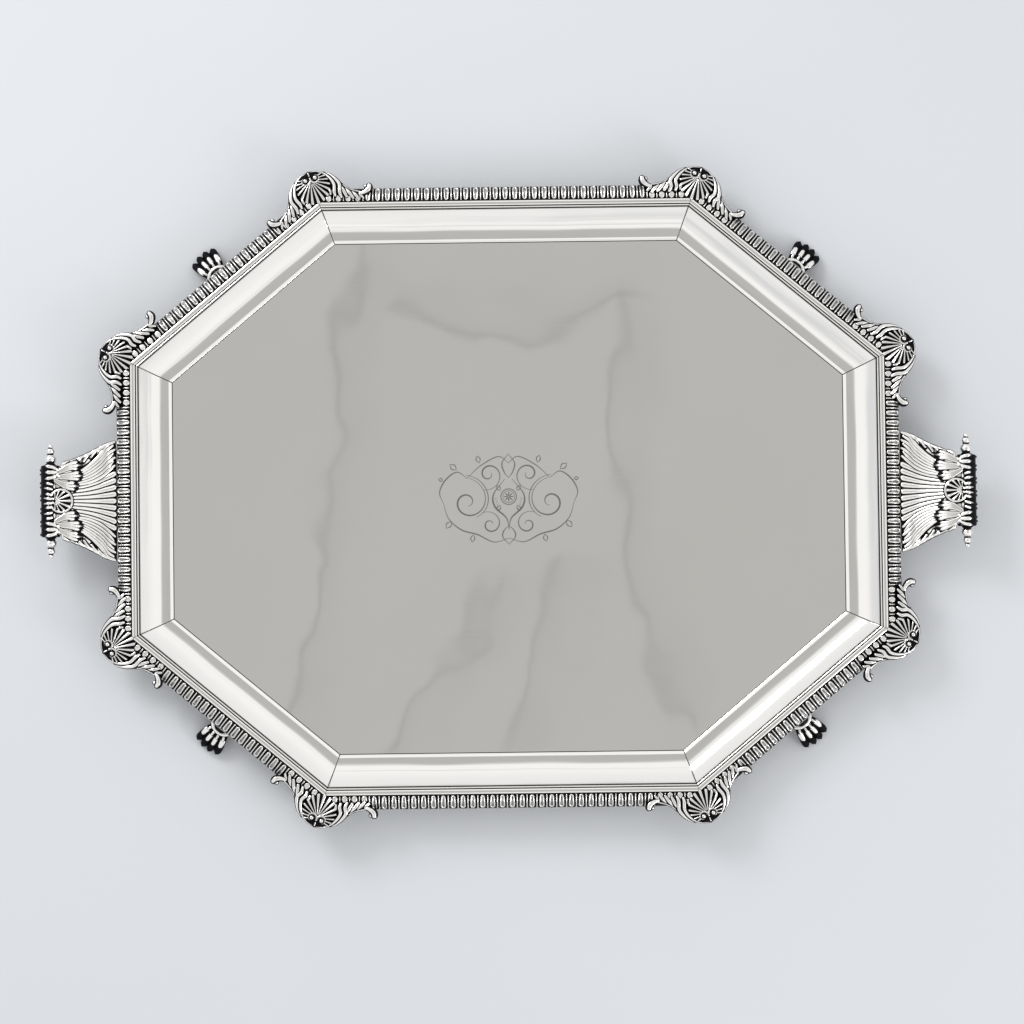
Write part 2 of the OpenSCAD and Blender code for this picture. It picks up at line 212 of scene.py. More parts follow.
rough = math_node(polish, "MULTIPLY_ADD", math_node(polish, "MULTIPLY", strokes, p_in.outputs["Scratches"]),
                  1.1, p_in.outputs["Gloss"])
rough = math_node(polish, "MULTIPLY_ADD", cloud.outputs["Fac"], 0.02, rough)
polish.links.new(rough, p_out.inputs["Roughness"])
haze = mapped(polish, cloud.outputs["Fac"], 0.35, 0.75, 0.0, 0.10, "LINEAR")
polish.links.new(mix_colour(polish, haze, p_in.outputs["Silver"], (0.72, 0.68, 0.62, 1)),
                 p_out.inputs["Colour"])
height = math_node(polish, "MULTIPLY", swell.outputs["Fac"], p_in.outputs["Swell"])
height = math_node(polish, "MULTIPLY_ADD", strokes, math_node(polish, "MULTIPLY", p_in.outputs["Scratches"], -0.02),
                   height)
polish.links.new(height, p_out.inputs["Height"])


def rolled_silver(name, gloss, scratches, swell_height, bump):
    material = bpy.data.materials.new(name)
    material.use_nodes = True
    tree = material.node_tree
    shader = tree.nodes["Principled BSDF"]
    shader.inputs["Metallic"].default_value = 1.0
    finish = node(tree, "ShaderNodeGroup", node_tree=polish)
    finish.inputs["Silver"].default_value = (0.93, 0.915, 0.89, 1)
    finish.inputs["Gloss"].default_value = gloss
    finish.inputs["Scratches"].default_value = scratches
    finish.inputs["Swell"].default_value = swell_height
    # painted shade: the darkening mask takes the sheet silver to near black in grooves and engraved cuts, and it also
    # blackens the mitre seams
    groove = node(tree, "ShaderNodeAttribute", attribute_name="oxide_and_shade").outputs["Fac"]
    tree.links.new(mix_colour(tree, groove, finish.outputs["Colour"], (0.02, 0.02, 0.02, 1)),
                   shader.inputs["Base Color"])
    tree.links.new(math_node(tree, "MULTIPLY_ADD", groove, 0.35, finish.outputs["Roughness"]),
                   shader.inputs["Roughness"])
    relief = node(tree, "ShaderNodeBump", Strength=1.0, Distance=bump)
    tree.links.new(finish.outputs["Height"], relief.inputs["Height"])
    tree.links.new(relief.outputs[0], shader.inputs["Normal"])
    return material


# The well: the flat of the tray, cut from one sheet. The middle is bright-cut with a symmetrical
# scrolled cartouche of the usual kind, thin hairlines that swell into shaded strokes.
def flow(points, steps):
    """A smooth line through the given points."""
    p = np.array(points, float)
    p = np.vstack([2 * p[0] - p[1], p, 2 * p[-1] - p[-2]])
    u = np.linspace(0, 1, steps, endpoint=False)[:, None]
    runs = [0.5 * (2 * b + (c - a) * u + (2 * a - 5 * b + 4 * c - d) * u**2 + (3 * b - a - 3 * c + d) * u**3)
            for a, b, c, d in zip(p, p[1:], p[2:], p[3:])]
    return np.vstack(runs + [p[-2:-1]])


def spiral(cx, cy, r0, r1, a0, turns, steps=60):
    k = np.linspace(0, 1, steps)
    a = math.radians(a0) + 2 * math.pi * turns * k
    r = r0 * (r1 / r0) ** k
    return np.column_stack([cx + r * np.cos(a), cy + r * np.sin(a)])


cuts = []


def engrave(line, broad, shade=1.0):
    """One cut, and its mirror image across the cartouche. It swells to broad mm in its middle."""
    n = len(line)
    width = 0.26 + (broad - 0.26) * np.sin(np.linspace(0, math.pi, n)) ** 1.5
    for flip in (1, -1):
        cuts.append((line * (flip, 1), width, shade))


engrave(spiral(33, -4, 19, 3.2, 95, 1.45), 1.5)
engrave(spiral(33, -4, 21.5, 14, 88, 0.42), 0.7)
engrave(spiral(16, 18, 13, 2.4, -75, -1.35), 1.3)
engrave(spiral(15, -22, 11, 2.2, 60, 1.3), 1.2)
engrave(flow([(33, 15), (22, 25), (8, 32), (0, 27)], 20), 0.8)
engrave(flow([(3, 14), (12, 2), (11, -8), (2, -17), (0, -26)], 20), 1.5)
engrave(flow([(0, 34), (5, 27), (3.5, 20), (0, 15)], 16), 1.0)
engrave(flow([(0, -38), (5, -32), (4, -27), (0, -23)], 16), 1.0)
engrave(flow([(52, -5), (55, 4), (50, 14), (41, 20), (33, 15)], 18), 1.1)
engrave(flow([(52, -5), (48, -17), (38, -26), (25, -30), (12, -36), (0, -33)], 18), 1.1)
for x, y, r, a in ((44, 24, 7, 40), (48, -22, 7, -50), (24, 30, 6, 75), (29, -33, 6, -80), (54, 14, 4, 15),
                   (8, 7, 5, 60), (8, -9, 5, -60)):
    tip = np.array((math.cos(math.radians(a)), math.sin(math.radians(a))))
    side = np.array((-tip[1], tip[0]))
    base = np.array((x, y)) - tip * r * 0.5
    engrave(flow([base, base + tip * r * 0.5 + side * r * 0.28, base + tip * r], 10), 0.8)
    engrave(flow([base, base + tip * r * 0.5 - side * r * 0.28, base + tip * r], 10), 0.8)
for k in range(7):
    engrave(flow([(9.5 - 0.35 * k, -1 - 1.6 * k), (11 - 0.55 * k, -1.6 - 1.7 * k)], 8), 0.34, 0.6)
ring = np.linspace(0, 2 * math.pi, 60)
for r, w in ((6.2, 0.7), (4.7, 0.35)):
    cuts.append((np.column_stack([r * np.cos(ring), r * np.sin(ring)]), np.full(60, w), 1.0))
for k in range(8):
    a = k * math.pi / 4
    cuts.append((np.column_stack([np.linspace(0.6, 3.9, 10) * math.cos(a), np.linspace(0.6, 3.9, 10) * math.sin(a)]),
                 0.3 + 0.7 * np.sin(np.linspace(0, math.pi, 10)), 1.0))

step = 0.26
gx, gy = np.arange(-58, 58 + step, step), np.arange(-41, 37 + step, step)
GX, GY = np.meshgrid(gx, gy)
depth = np.zeros_like(GX)
for line, width, shade in cuts:
    for p, q, wp, wq in zip(line[:-1], line[1:], width[:-1], width[1:]):
        reach = max(wp, wq) + step
        i0, i1 = np.searchsorted(gx, (min(p[0], q[0]) - reach, max(p[0], q[0]) + reach))
        j0, j1 = np.searchsorted(gy, (min(p[1], q[1]) - reach, max(p[1], q[1]) + reach))
        X, Y = GX[j0:j1, i0:i1], GY[j0:j1, i0:i1]
        d = q - p
        f = np.clip(((X - p[0]) * d[0] + (Y - p[1]) * d[1]) / max(d @ d, 1e-9), 0, 1)
        far = np.hypot(X - p[0] - f * d[0], Y - p[1] - f * d[1])
        half = (wp + (wq - wp) * f) / 2 + 0.1
        cut = np.clip(1 - far / half, 0, 1) * shade
        depth[j0:j1, i0:i1] = np.maximum(depth[j0:j1, i0:i1], cut)
cut_depth = 0.04
well_points = np.column_stack([GX.ravel(), GY.ravel(), (well_z - cut_depth * depth).ravel()])
nr, nc = GX.shape
index = np.arange(nr * nc).reshape(nr, nc)
quads = np.stack([index[:-1, :-1], index[:-1, 1:], index[1:, 1:], index[1:, :-1]], -1).reshape(-1, 4)
edge = -32.0
inner_octagon = []
for k in range(8):
    turn = side_of(k)[4]
    a = side_of(k)[1] + turn / 2
    inner_octagon.append(corner_points[k] + edge / math.cos(turn / 2) * np.array((math.cos(a), math.sin(a))))
inner_octagon = np.array(inner_octagon)
x0, x1, y0, y1 = gx[0], gx[-1], gy[0], gy[-1]
faces = [tuple(q) for q in quads]
start = len(well_points)
sheet = 1.4
under = well_z - sheet
around = [(x, y, well_z) for x, y in inner_octagon] + [(x1, y0, well_z), (x1, y1, well_z), (x0, y1, well_z),
                                                       (x0, y0, well_z)]
below = [(x, y, under) for x, y in inner_octagon]
o, c, b = start, start + 8, start + 12
faces += [(c, o + 7, o, c + 1), (c + 1, o, o + 1), (c + 1, o + 1, o + 2, c + 2), (c + 2, o + 2, o + 3),
          (c + 2, o + 3, o + 4, c + 3), (c + 3, o + 4, o + 5), (c + 3, o + 5, o + 6, c), (c, o + 6, o + 7)]
faces += [tuple(b + i for i in reversed(range(8)))]
faces += [(o + i, b + i, b + (i + 1) % 8, o + (i + 1) % 8) for i in range(8)]
well_points = np.vstack([well_points, around, below])
# painted shade: the engraved lines are darkened in colour, because the shallow cuts do not shade themselves
engraving_shade = np.concatenate([0.88 * depth.ravel() ** 0.5, np.zeros(20)])
well_mesh = silver_mesh("well", well_points, faces, engraving_shade, crease=30)

well_silver = rolled_silver("well_silver", 0.012, 0.05, 0.2, 0.0012)
fit_piece("well", well_mesh, well_silver, Matrix.Identity(4), "well_plate")


# The bouge: the hollow wall round the well, one length to a side, raised from sheet and soldered
# at the mitres, where a fine open seam still shows. A rounded step stiffens its foot.
def smooth(x, a, b):
    x = np.clip((x - a) / (b - a), 0, 1)
    return x * x * (3 - 2 * x)


def swept(section, half, before, after, places, push, dark=None):
    """Sweeps a closed (s, z) section along a side between its mitres. push moves its points a little, and dark says
    which of them lie in a groove and get painted shade; the rings at the mitres are blackened as well."""
    section = np.array(section, float)
    rings, oxide_and_shade = [], []
    for f in places:
        s = section[:, 0]
        t0, t1 = -half - s * math.tan(before / 2), half + s * math.tan(after / 2)
        t = t0 + (t1 - t0) * f if isinstance(f, float) else (t0 + f[1] if f[0] < 0 else t1 - f[1])
        gap = min(abs(t - t0).max(), abs(t1 - t).max())
        ds, dz = push(section[:, 0], section[:, 1], t, gap)
        rings.append(np.column_stack([s + ds, t, section[:, 1] + dz]))
        # the rings at the mitre seam are blackened in colour
        oxide_and_shade.append(np.maximum(0 * s if dark is None else dark, 1.0 if gap < 0.2 else 0.0))
    n, m = len(section), len(rings)
    points = np.vstack(rings)
    quads = [(r * n + i, r * n + (i + 1) % n, (r + 1) * n + (i + 1) % n, (r + 1) * n + i)
             for r in range(m - 1) for i in range(n)]
    ends = [tuple(reversed(range(n))), tuple((m - 1) * n + i for i in range(n))]
    return points, quads + ends, np.concatenate(oxide_and_shade)


cove_start, cove_end, flange_z = -28.6, -6.2, rim_z - 2.4
slope_at = np.radians(np.interp(np.linspace(0, 1, 60), (0, 0.28, 0.48, 0.74, 1), (3, 14, 33, 41, 44)))
run = np.linspace(cove_start, cove_end, 60)
climb = np.concatenate([[0], np.cumsum(np.diff(run) * np.tan((slope_at[1:] + slope_at[:-1]) / 2))])
step_top = well_z + 1.3
climb *= (rim_z - 1.6 - step_top) / climb[-1]
inside = [(edge, well_z), (edge + 0.14, well_z - 0.3), (edge + 0.52, well_z - 0.3), (edge + 0.64, well_z + 0.02)]
inside += [(edge + 0.64 + 2.5 * f, well_z + 0.05 + 1.22 * (1.25 * f - 0.25 * f * f)) for f in np.linspace(0.05, 1, 8)]
inside += [(s, step_top + c) for s, c in zip(run[1::2], climb[1::2])]
outside = [(s + sheet * math.sin(a), step_top + c - sheet * math.cos(a))
           for s, c, a in list(zip(run, climb, slope_at))[54:2:-3]]
bouge_section = inside + [(cove_end, flange_z), (2, flange_z), (2, flange_z - sheet)] + outside
bouge_section += [(edge + 4, under - 0.02), (edge, under - 0.02)]
bouge_silver = rolled_silver("bouge_silver", 0.03, 0.12, 0.5, 0.0010)
# painted shade: black in the groove at the edge of the well and along the flange where the rim wire sits
grooves = np.array([1.0 if (s < edge + 0.6 and well_z - 1 < z < well_z) or s > cove_end - 0.5 else 0.0
                    for s, z in bouge_section])
for k, side in enumerate(SIDES):
    middle, angle, length, before, after = side_of(k)

    def dress(s, z, t, gap, k=k):
        wave = (0.14 * np.sin(t / 21 + 1.7 * k) * np.sin(s / 8 + k) + 0.07 * np.sin(t / 9.3 + 2.9 * k + s / 12))
        wave = wave * smooth(s, edge + 2.5, edge + 7)
        open_seam = 0.3 * math.exp(-((gap / 0.25) ** 2))
        inner = np.arange(len(s)) < len(inside)
        return np.where(inner, open_seam * 0.5, 0), np.where(inner, wave - open_seam, 0)

    places = [(-1, 0.0), (-1, 0.17), (-1, 0.42), (-1, 1.0), (-1, 2.0)] + list(np.linspace(0.02, 0.98, 90)) + [
        (1, 2.0), (1, 1.0), (1, 0.42), (1, 0.17), (1, 0.0)]
    places = [p if isinstance(p, tuple) else float(p) for p in places]
    points, faces, oxide_and_shade = swept(bouge_section, length / 2, before, after, places, dress, grooves)
    fit_piece("bouge_length_" + side, silver_mesh("bouge_" + side, points, faces, oxide_and_shade, crease=35), bouge_silver,
              side_matrix(k), "bouge_" + side)

# The rim wire: drawn silver wire with a flat fillet, a fine groove and a small bead, bent round
# the tray and soldered on the flange of the bouge.
bead = [(-4.95 + 0.62 * math.cos(a), flange_z + 1.35 + 0.7 * math.sin(a)) for a in np.linspace(math.pi, 0, 11)]
wire_section = [(cove_end, flange_z)] + bead + [
    (-4.2, flange_z + 0.95), (-3.75, flange_z + 0.9), (-3.55, rim_z - 0.45)]
wire_section += [(-1.7 + 1.7 * f, rim_z - 0.3 * f**2 - 0.1 * f**6) for f in np.linspace(-1, 1, 13)] + [(0, flange_z)]
# painted shadow: black low on the bead and down into the groove where the wire meets the bouge
wire_dark = np.array([1.0 if z < flange_z + 1.4 and s < -3.5 else 0.0 for s, z in wire_section])
wire_silver = rolled_silver("wire_silver", 0.12, 0.2, 0.3, 0.0008)
wire_meshes = {}
for k, side in enumerate(SIDES):
    middle, angle, length, before, after = side_of(k)
    key = (round(length), round(before, 2))
    if key not in wire_meshes:

        def dress(s, z, t, gap):
            return 0 * s, np.where(z > flange_z + 0.5, 0.03 * np.sin(t / 11) * np.sin(t / 27 + 1), 0)

        places = [(-1, 0.0), (-1, 0.1), (-1, 0.3)] + [float(f) for f in np.linspace(0.01, 0.99, 70)] + [
            (1, 0.3), (1, 0.1), (1, 0.0)]
        points, faces, oxide_and_shade = swept(wire_section, length / 2, before, after, places, dress, wire_dark)
        wire_meshes[key] = silver_mesh("rim_wire_%d" % len(wire_meshes), points, faces, oxide_and_shade, crease=35)
    fit_piece("rim_wire_length_" + side, wire_meshes[key], wire_silver, side_matrix(k), "rim_wire_" + side)

# Cast and chased silver: oxide in the hollows and painted shade on slopes and low parts darken the colour, and only
# the high points stay bright as painted highlights, so every detail is outlined in black. The cast skin is a little
# less smooth than the sheet.
oxide_shade_group, o_in, o_out = new_group(
    "oxide_and_painted_shade",
    [("Silver", "NodeSocketColor", (0.9, 0.88, 0.85, 1)), ("Oxide and shade", "NodeSocketColor", (0.012, 0.012, 0.014, 1)),
     ("Gloss", "NodeSocketFloat", 0.16), ("Amount", "NodeSocketFloat", 1.0)],
    [("Colour", "NodeSocketColor"), ("Roughness", "NodeSocketFloat"), ("Height", "NodeSocketFloat")])
where = node(oxide_shade_group, "ShaderNodeTexCoord").outputs["Object"]
hollow = node(oxide_shade_group, "ShaderNodeAttribute", attribute_name="oxide_and_shade").outputs["Fac"]
mottle = node(oxide_shade_group, "ShaderNodeTexNoise", Scale=420.0, Detail=3.0, Roughness=0.6)
oxide_shade_group.links.new(where, mottle.inputs["Vector"])
skin = node(oxide_shade_group, "ShaderNodeTexNoise", Scale=1500.0, Detail=2.0, Roughness=0.5)
oxide_shade_group.links.new(where, skin.inputs["Vector"])
# the darkening mask carries oxide and painted shade; the mottle makes the tarnish uneven
stain_and_shade = math_node(oxide_shade_group, "MULTIPLY_ADD", math_node(oxide_shade_group, "SUBTRACT", mottle.outputs["Fac"], 0.5), 0.45, hollow)
mask = mapped(oxide_shade_group, math_node(oxide_shade_group, "MULTIPLY", stain_and_shade, o_in.outputs["Amount"]), 0.28, 0.8, 0.0, 1.0)
oxide_shade_group.links.new(mix_colour(oxide_shade_group, mask, o_in.outputs["Silver"], o_in.outputs["Oxide and shade"]),
                o_out.inputs["Colour"])
worn = math_node(oxide_shade_group, "MULTIPLY_ADD", mask, 0.34, o_in.outputs["Gloss"])
oxide_shade_group.links.new(math_node(oxide_shade_group, "MULTIPLY_ADD", mottle.outputs["Fac"], 0.08, worn), o_out.inputs["Roughness"])
oxide_shade_group.links.new(math_node(oxide_shade_group, "MULTIPLY_ADD", mottle.outputs["Fac"], 0.6, skin.outputs["Fac"]),
                o_out.inputs["Height"])


def cast_silver(name, gloss, amount, bump, tone=(0.93, 0.915, 0.89, 1)):
    material = bpy.data.materials.new(name)
    material.use_nodes = True
    tree = material.node_tree
    shader = tree.nodes["Principled BSDF"]
    shader.inputs["Metallic"].default_value = 1.0
    finish = node(tree, "ShaderNodeGroup", node_tree=oxide_shade_group)
    finish.inputs["Silver"].default_value = tone
    finish.inputs["Gloss"].default_value = gloss
    finish.inputs["Amount"].default_value = amount
    tree.links.new(finish.outputs["Colour"], shader.inputs["Base Color"])
    tree.links.new(finish.outputs["Roughness"], shader.inputs["Roughness"])
    relief = node(tree, "ShaderNodeBump", Strength=0.6, Distance=bump)
    tree.links.new(finish.outputs["Height"], relief.inputs["Height"])
    tree.links.new(relief.outputs[0], shader.inputs["Normal"])
    return material


# The border: one cast and chased length of tongue and dart to a side, an ovolo that rolls over
# the edge. The tongues are dished inside a raised lip, with painted shade in the dish, and the ground between is black
# with oxide and painted shade.
def tongue_band_mesh(name, length, before, after):
    ovolo_z, reach_g, rise_g, reach_t, rise_t = rim_z - 7.4, 11.0, 5.5, 12.5, 7.4
    count = round(length / 7.76)
    pitch = length / count
    cell = np.array([0, 0.5, 0.9, 1.2, 1.45, 1.65, 1.85, 2.0, 2.15, 2.3, 2.45, 2.6, 2.8, 3.05, 3.25, 3.38,
                     3.5, 3.62, 3.75])
    cell = cell / 3.88 * pitch / 2
    cell = np.concatenate([-cell[::-1], cell[1:], [pitch / 2]])
    t = np.concatenate([(k - count / 2) * pitch + cell for k in range(1, count)])
    ends = 10.5
    t = np.concatenate([np.linspace(-length / 2 - ends, t[0] - 0.6, 14), t,
                        np.linspace(t[-1] + 0.6, length / 2 + ends, 14)])
    a = np.radians(np.concatenate([np.linspace(0, 30, 19), np.linspace(32.5, 50, 8), np.linspace(52, 76, 15),
                                   [80, 85, 90, 96]]))
    T, A = np.meshgrid(t, a)
    arc = np.concatenate([[0], np.cumsum(np.hypot(np.diff(reach_t * np.sin(a)), np.diff(rise_t * np.cos(a))))])
    L = np.interp(A, a, arc)
    near = np.round(T / pitch + count / 2) - count / 2
    x = np.abs(T - near * pitch)
    k = near + count / 2
    short = (k < 4.5) | (k > count - 4.5)
    present = (k > 0.5) & (k < count - 0.5)
    seg_end = np.where(short, 4.3, np.interp(math.radians(70), a, arc) - 2.6)
    f = np.clip((L - 2.9) / (seg_end - 2.9), 0, 1)
    r = np.where(short, 2.35, 1.95 + 0.38 * f)
    gap = np.hypot(x, L - np.clip(L, 2.9, seg_end)) - r
    inward = np.clip(-gap, 0, 0.8)
    lip = np.sqrt(np.clip(1 - (1 - inward / 0.8) ** 2, 0, 1))
    dish = 0.5 * smooth(-gap, 0.85, 1.8) * np.where(short, 0.1, 1)
    h = np.where(present, lip * (1 - dish), 0)
    spine = np.abs(x - pitch / 2)
    dart = np.sqrt(np.clip(1 - (spine / 0.62) ** 2, 0, 1)) * 0.62 * smooth(L, 0.8, 1.6)
    dart = np.where(short, dart * (L < 6.2), dart)
    h = np.maximum(h, dart)
    S = (reach_g + (reach_t - reach_g) * h) * np.sin(A)
    Z = ovolo_z + (rise_g + (rise_t - rise_g) * h) * np.cos(A)
    lim0, lim1 = -length / 2 - S * math.tan(before / 2), length / 2 + S * math.tan(after / 2)
    TT = np.clip(T, lim0, lim1)
    # painted shade: grey in the dish of each tongue, and black oxide and painted shade on the ground between
    dish_shade = np.where(short, 0.4, 0.62) * smooth(-gap, 0.75, 1.5) * present
    oxide_and_shade = np.maximum(1 - smooth(h, 0.1, 0.5), dish_shade)
    rows = [np.column_stack([np.full(len(t), s), np.clip(t, -length / 2 - s * math.tan(before / 2),
                                                       length / 2 + s * math.tan(after / 2)), np.full(len(t), z)])
            for s, z in ((12.2, rim_z - 8.1), (11.9, rim_z - 8.4), (9.8, rim_z - 8.4), (2, flange_z - 1.4),
                         (0.02, flange_z - 1.2), (0.02, rim_z - 2))]
    points = np.vstack([np.column_stack([S.ravel(), TT.ravel(), Z.ravel()])] + rows)
    # painted shade on the back and underside of the band
    oxide_and_shade = np.concatenate([oxide_and_shade.ravel(), np.full(len(rows) * len(t), 0.4)])
    n, m = len(t), len(a) + len(rows)
    index = np.arange(n * m).reshape(m, n)
    index = np.vstack([index, index[:1]])
    quads = np.stack([index[:-1, :-1], index[:-1, 1:], index[1:, 1:], index[1:, :-1]], -1).reshape(-1, 4)[:, ::-1]
    return silver_mesh(name, points, quads, oxide_and_shade, crease=55)


band_silver = cast_silver("border_silver", 0.15, 1.0, 0.00004, tone=(0.84, 0.83, 0.81, 1))
band_meshes = {}
for k, side in enumerate(SIDES):
    middle, angle, length, before, after = side_of(k)
    key = (round(length), round(before, 2))
    if key not in band_meshes:
        band_meshes[key] = tongue_band_mesh("tongue_band_%d" % len(band_meshes), length, before, after)
    fit_piece("tongue_and_dart_" + side, band_meshes[key], band_silver, side_matrix(k), "tongue_band_" + side)


# The corner leaves: one casting wraps each corner, a C-scroll round the shell that runs out into
# an acanthus leaf along both sides and ends in a curled tip. Each lobe is a raised, tapering rib.
def ring_faces(rings, around):
    """Faces that close a stack of rings, with around points to a ring."""
    faces = [(i * around + j, i * around + (j + 1) % around, (i + 1) * around + (j + 1) % around,
              (i + 1) * around + j) for i in range(rings - 1) for j in range(around)]
    return faces + [tuple(reversed(range(around))), tuple((rings - 1) * around + j for j in range(around))]


def rib(points, radii, flat=1.0, around=12, steps=5):
    """A tapering round-ended rib through points (x, y, z, in mm), fattest as radii say."""
    line = flow(points, steps)
    r = np.interp(np.linspace(0, 1, len(line)), np.linspace(0, 1, len(radii)), radii)
    d = np.gradient(line, axis=0)
    d /= np.linalg.norm(d, axis=1)[:, None]
    first, last = d[0], d[-1]
    cap = [(0.98, 0.15), (0.75, 0.62), (0.4, 0.9)]
    line = np.vstack([[line[0] - first * r[0] * c for c, _ in cap], line,
                      [line[-1] + last * r[-1] * c for c, _ in cap[::-1]]])
    d = np.vstack([[first] * 3, d, [last] * 3])
    r = np.concatenate([[r[0] * k for _, k in cap], r, [r[-1] * k for _, k in cap[::-1]]])
    across = np.cross(d, (0, 0, 1.0))
    thin = np.linalg.norm(across, axis=1) < 0.2
    across[thin] = np.cross(d[thin], (1.0, 0, 0))
    across /= np.linalg.norm(across, axis=1)[:, None]
    up = np.cross(across, d)
    a = np.linspace(0, 2 * math.pi, around, endpoint=False)
    rings = line[:, None] + r[:, None, None] * (across[:, None] * np.cos(a)[None, :, None]
                                                + flat * up[:, None] * np.sin(a)[None, :, None])
    return rings.reshape(-1, 3), ring_faces(len(rings), around)


def prism(outline, z0, z1):
    outline = np.array(outline, float)
    n = len(outline)
    points = np.vstack([np.column_stack([outline, np.full(n, z0)]), np.column_stack([outline, np.full(n, z1)])])
    faces = [tuple(reversed(range(n))), tuple(range(n, 2 * n))]
    return points, faces + [(i, (i + 1) % n, n + (i + 1) % n, n + i) for i in range(n)]


def ball(x, y, z, r, squash=1.0):
    a = np.linspace(0.12, math.pi - 0.12, 9)
    return turned([(r * math.sin(q), z + squash * r * -math.cos(q)) for q in a], (x, y), 16)


def turned(profile, centre=(0, 0), around=48):
    """A lathe-turned solid about the Z axis, from (radius, height) pairs."""
    a = np.linspace(0, 2 * math.pi, around, endpoint=False)
    points = np.vstack([np.column_stack([centre[0] + r * np.cos(a), centre[1] + r * np.sin(a), np.full(around, z)])
                        for r, z in profile])
    return points, ring_faces(len(profile), around)


def mirrored(parts):
    """The same parts on the other side of the piece's middle line."""
    return [(p * (1, -1, 1), [tuple(reversed(f)) for f in faces]) for p, faces in parts]


def cast(parts, grain, ground=None, soften=2, spread=26, bite=0.12, bright_slope=0.85, clear=0.95):
    """Fuses the parts into one casting with grain mm of detail, softened as by finishing, and
    works out where the colour is darkened: oxide and painted shade in hollows and below the
    ground level, and painted shade on slopes steeper than a limit, so only faces turned up stay
    bright as painted highlights. The back is filed clean, so it is only dull.
    The slope limit is the cosine of the steepest slope left quite bright; clear is the height
    above the ground level where the painted shade ends."""
    points, faces = [], []
    for p, f in parts:
        base = sum(len(q) for q in points)
        points.append(p)
        faces += [tuple(base + i for i in face) for face in f]
    rough_mesh = bpy.data.meshes.new("model")
    rough_mesh.from_pydata(np.vstack(points).tolist(), [], faces)
    model = bpy.data.objects.new("model", rough_mesh)
    bpy.context.scene.collection.objects.link(model)
    fuse = model.modifiers.new("fuse", "REMESH")
    fuse.mode, fuse.voxel_size, fuse.adaptivity = "VOXEL", grain, 0.0
    fused = bpy.data.meshes.new_from_object(model.evaluated_get(bpy.context.evaluated_depsgraph_get()))
    bpy.data.objects.remove(model)
    n = len(fused.vertices)
    co = np.empty(n * 3, np.float32)
    fused.vertices.foreach_get("co", co)
    co = co.reshape(-1, 3).astype(float)
    ends = np.empty(len(fused.edges) * 2, np.int32)
    fused.edges.foreach_get("vertices", ends)
    ends = ends.reshape(-1, 2)
    degree = np.bincount(ends.ravel(), minlength=n)[:, None]

    def relax(p, amount):
        total = np.column_stack([np.bincount(ends[:, 0], p[ends[:, 1], i], n)
                                 + np.bincount(ends[:, 1], p[ends[:, 0], i], n)
                                 for i in range(p.shape[1])])
        return p + amount * (total / degree - p)

    for _ in range(soften):
        co = relax(co, 0.6)
    quads = np.empty(len(fused.loops), np.int32)
    fused.loops.foreach_get("vertex_index", quads)
    quads = quads.reshape(-1, 4)
    a, b, c, d = (co[quads[:, i]] for i in range(4))
    normal = np.cross(c - a, d - b)
    normals = np.column_stack([sum(np.bincount(quads[:, j], normal[:, i], n) for j in range(4)) for i in range(3)])
    normals /= np.maximum(np.linalg.norm(normals, axis=1), 1e-9)[:, None]
    around = co
    for _ in range(spread):
        around = relax(around, 0.6)
    # oxide and painted shade in hollows; painted shade on steep slopes and below the ground level
    hollow = ((around - co) * normals).sum(1) / bite
    wall = smooth(bright_slope - normals[:, 2], 0, 0.36)
    low = smooth(ground(co) + clear - co[:, 2], 0, 0.7) if ground else 0
    back = smooth(-normals[:, 2], 0.2, 0.7)
    oxide_and_shade = np.clip(np.maximum(hollow, 0) + wall + low, 0, 1) * (1 - 0.6 * back)
    oxide_and_shade = relax(oxide_and_shade[:, None], 0.5)[:, 0]
    bpy.data.meshes.remove(fused)
    return co, quads, oxide_and_shade


def fit_corners(name, node_name, castings, material):
    """One casting to each corner. Opposite corners share theirs, turned half round."""
    for k in range(4):
        co, quads, oxide_and_shade = castings[k % len(castings)]
        angle = side_of(k)[1] + side_of(k)[4] / 2
        c, n = math.cos(angle), math.sin(angle)
        turned_co = np.column_stack([co[:, 0] * c - co[:, 1] * n, co[:, 0] * n + co[:, 1] * c, co[:, 2]])
        mesh = silver_mesh("%s_%d" % (name, k), turned_co, quads, oxide_and_shade, crease=0)
        for i in (k, k + 4):
            x, y = corner_points[i % 8] / 1000
            place = Matrix.Translation((x, y, 0)) @ Matrix.Rotation(math.pi * (i > 3), 4, "Z")
            fit_piece(name + "_" + CORNERS[i], mesh, material, place, node_name + CORNERS[i])


SHELL_U = 12.7


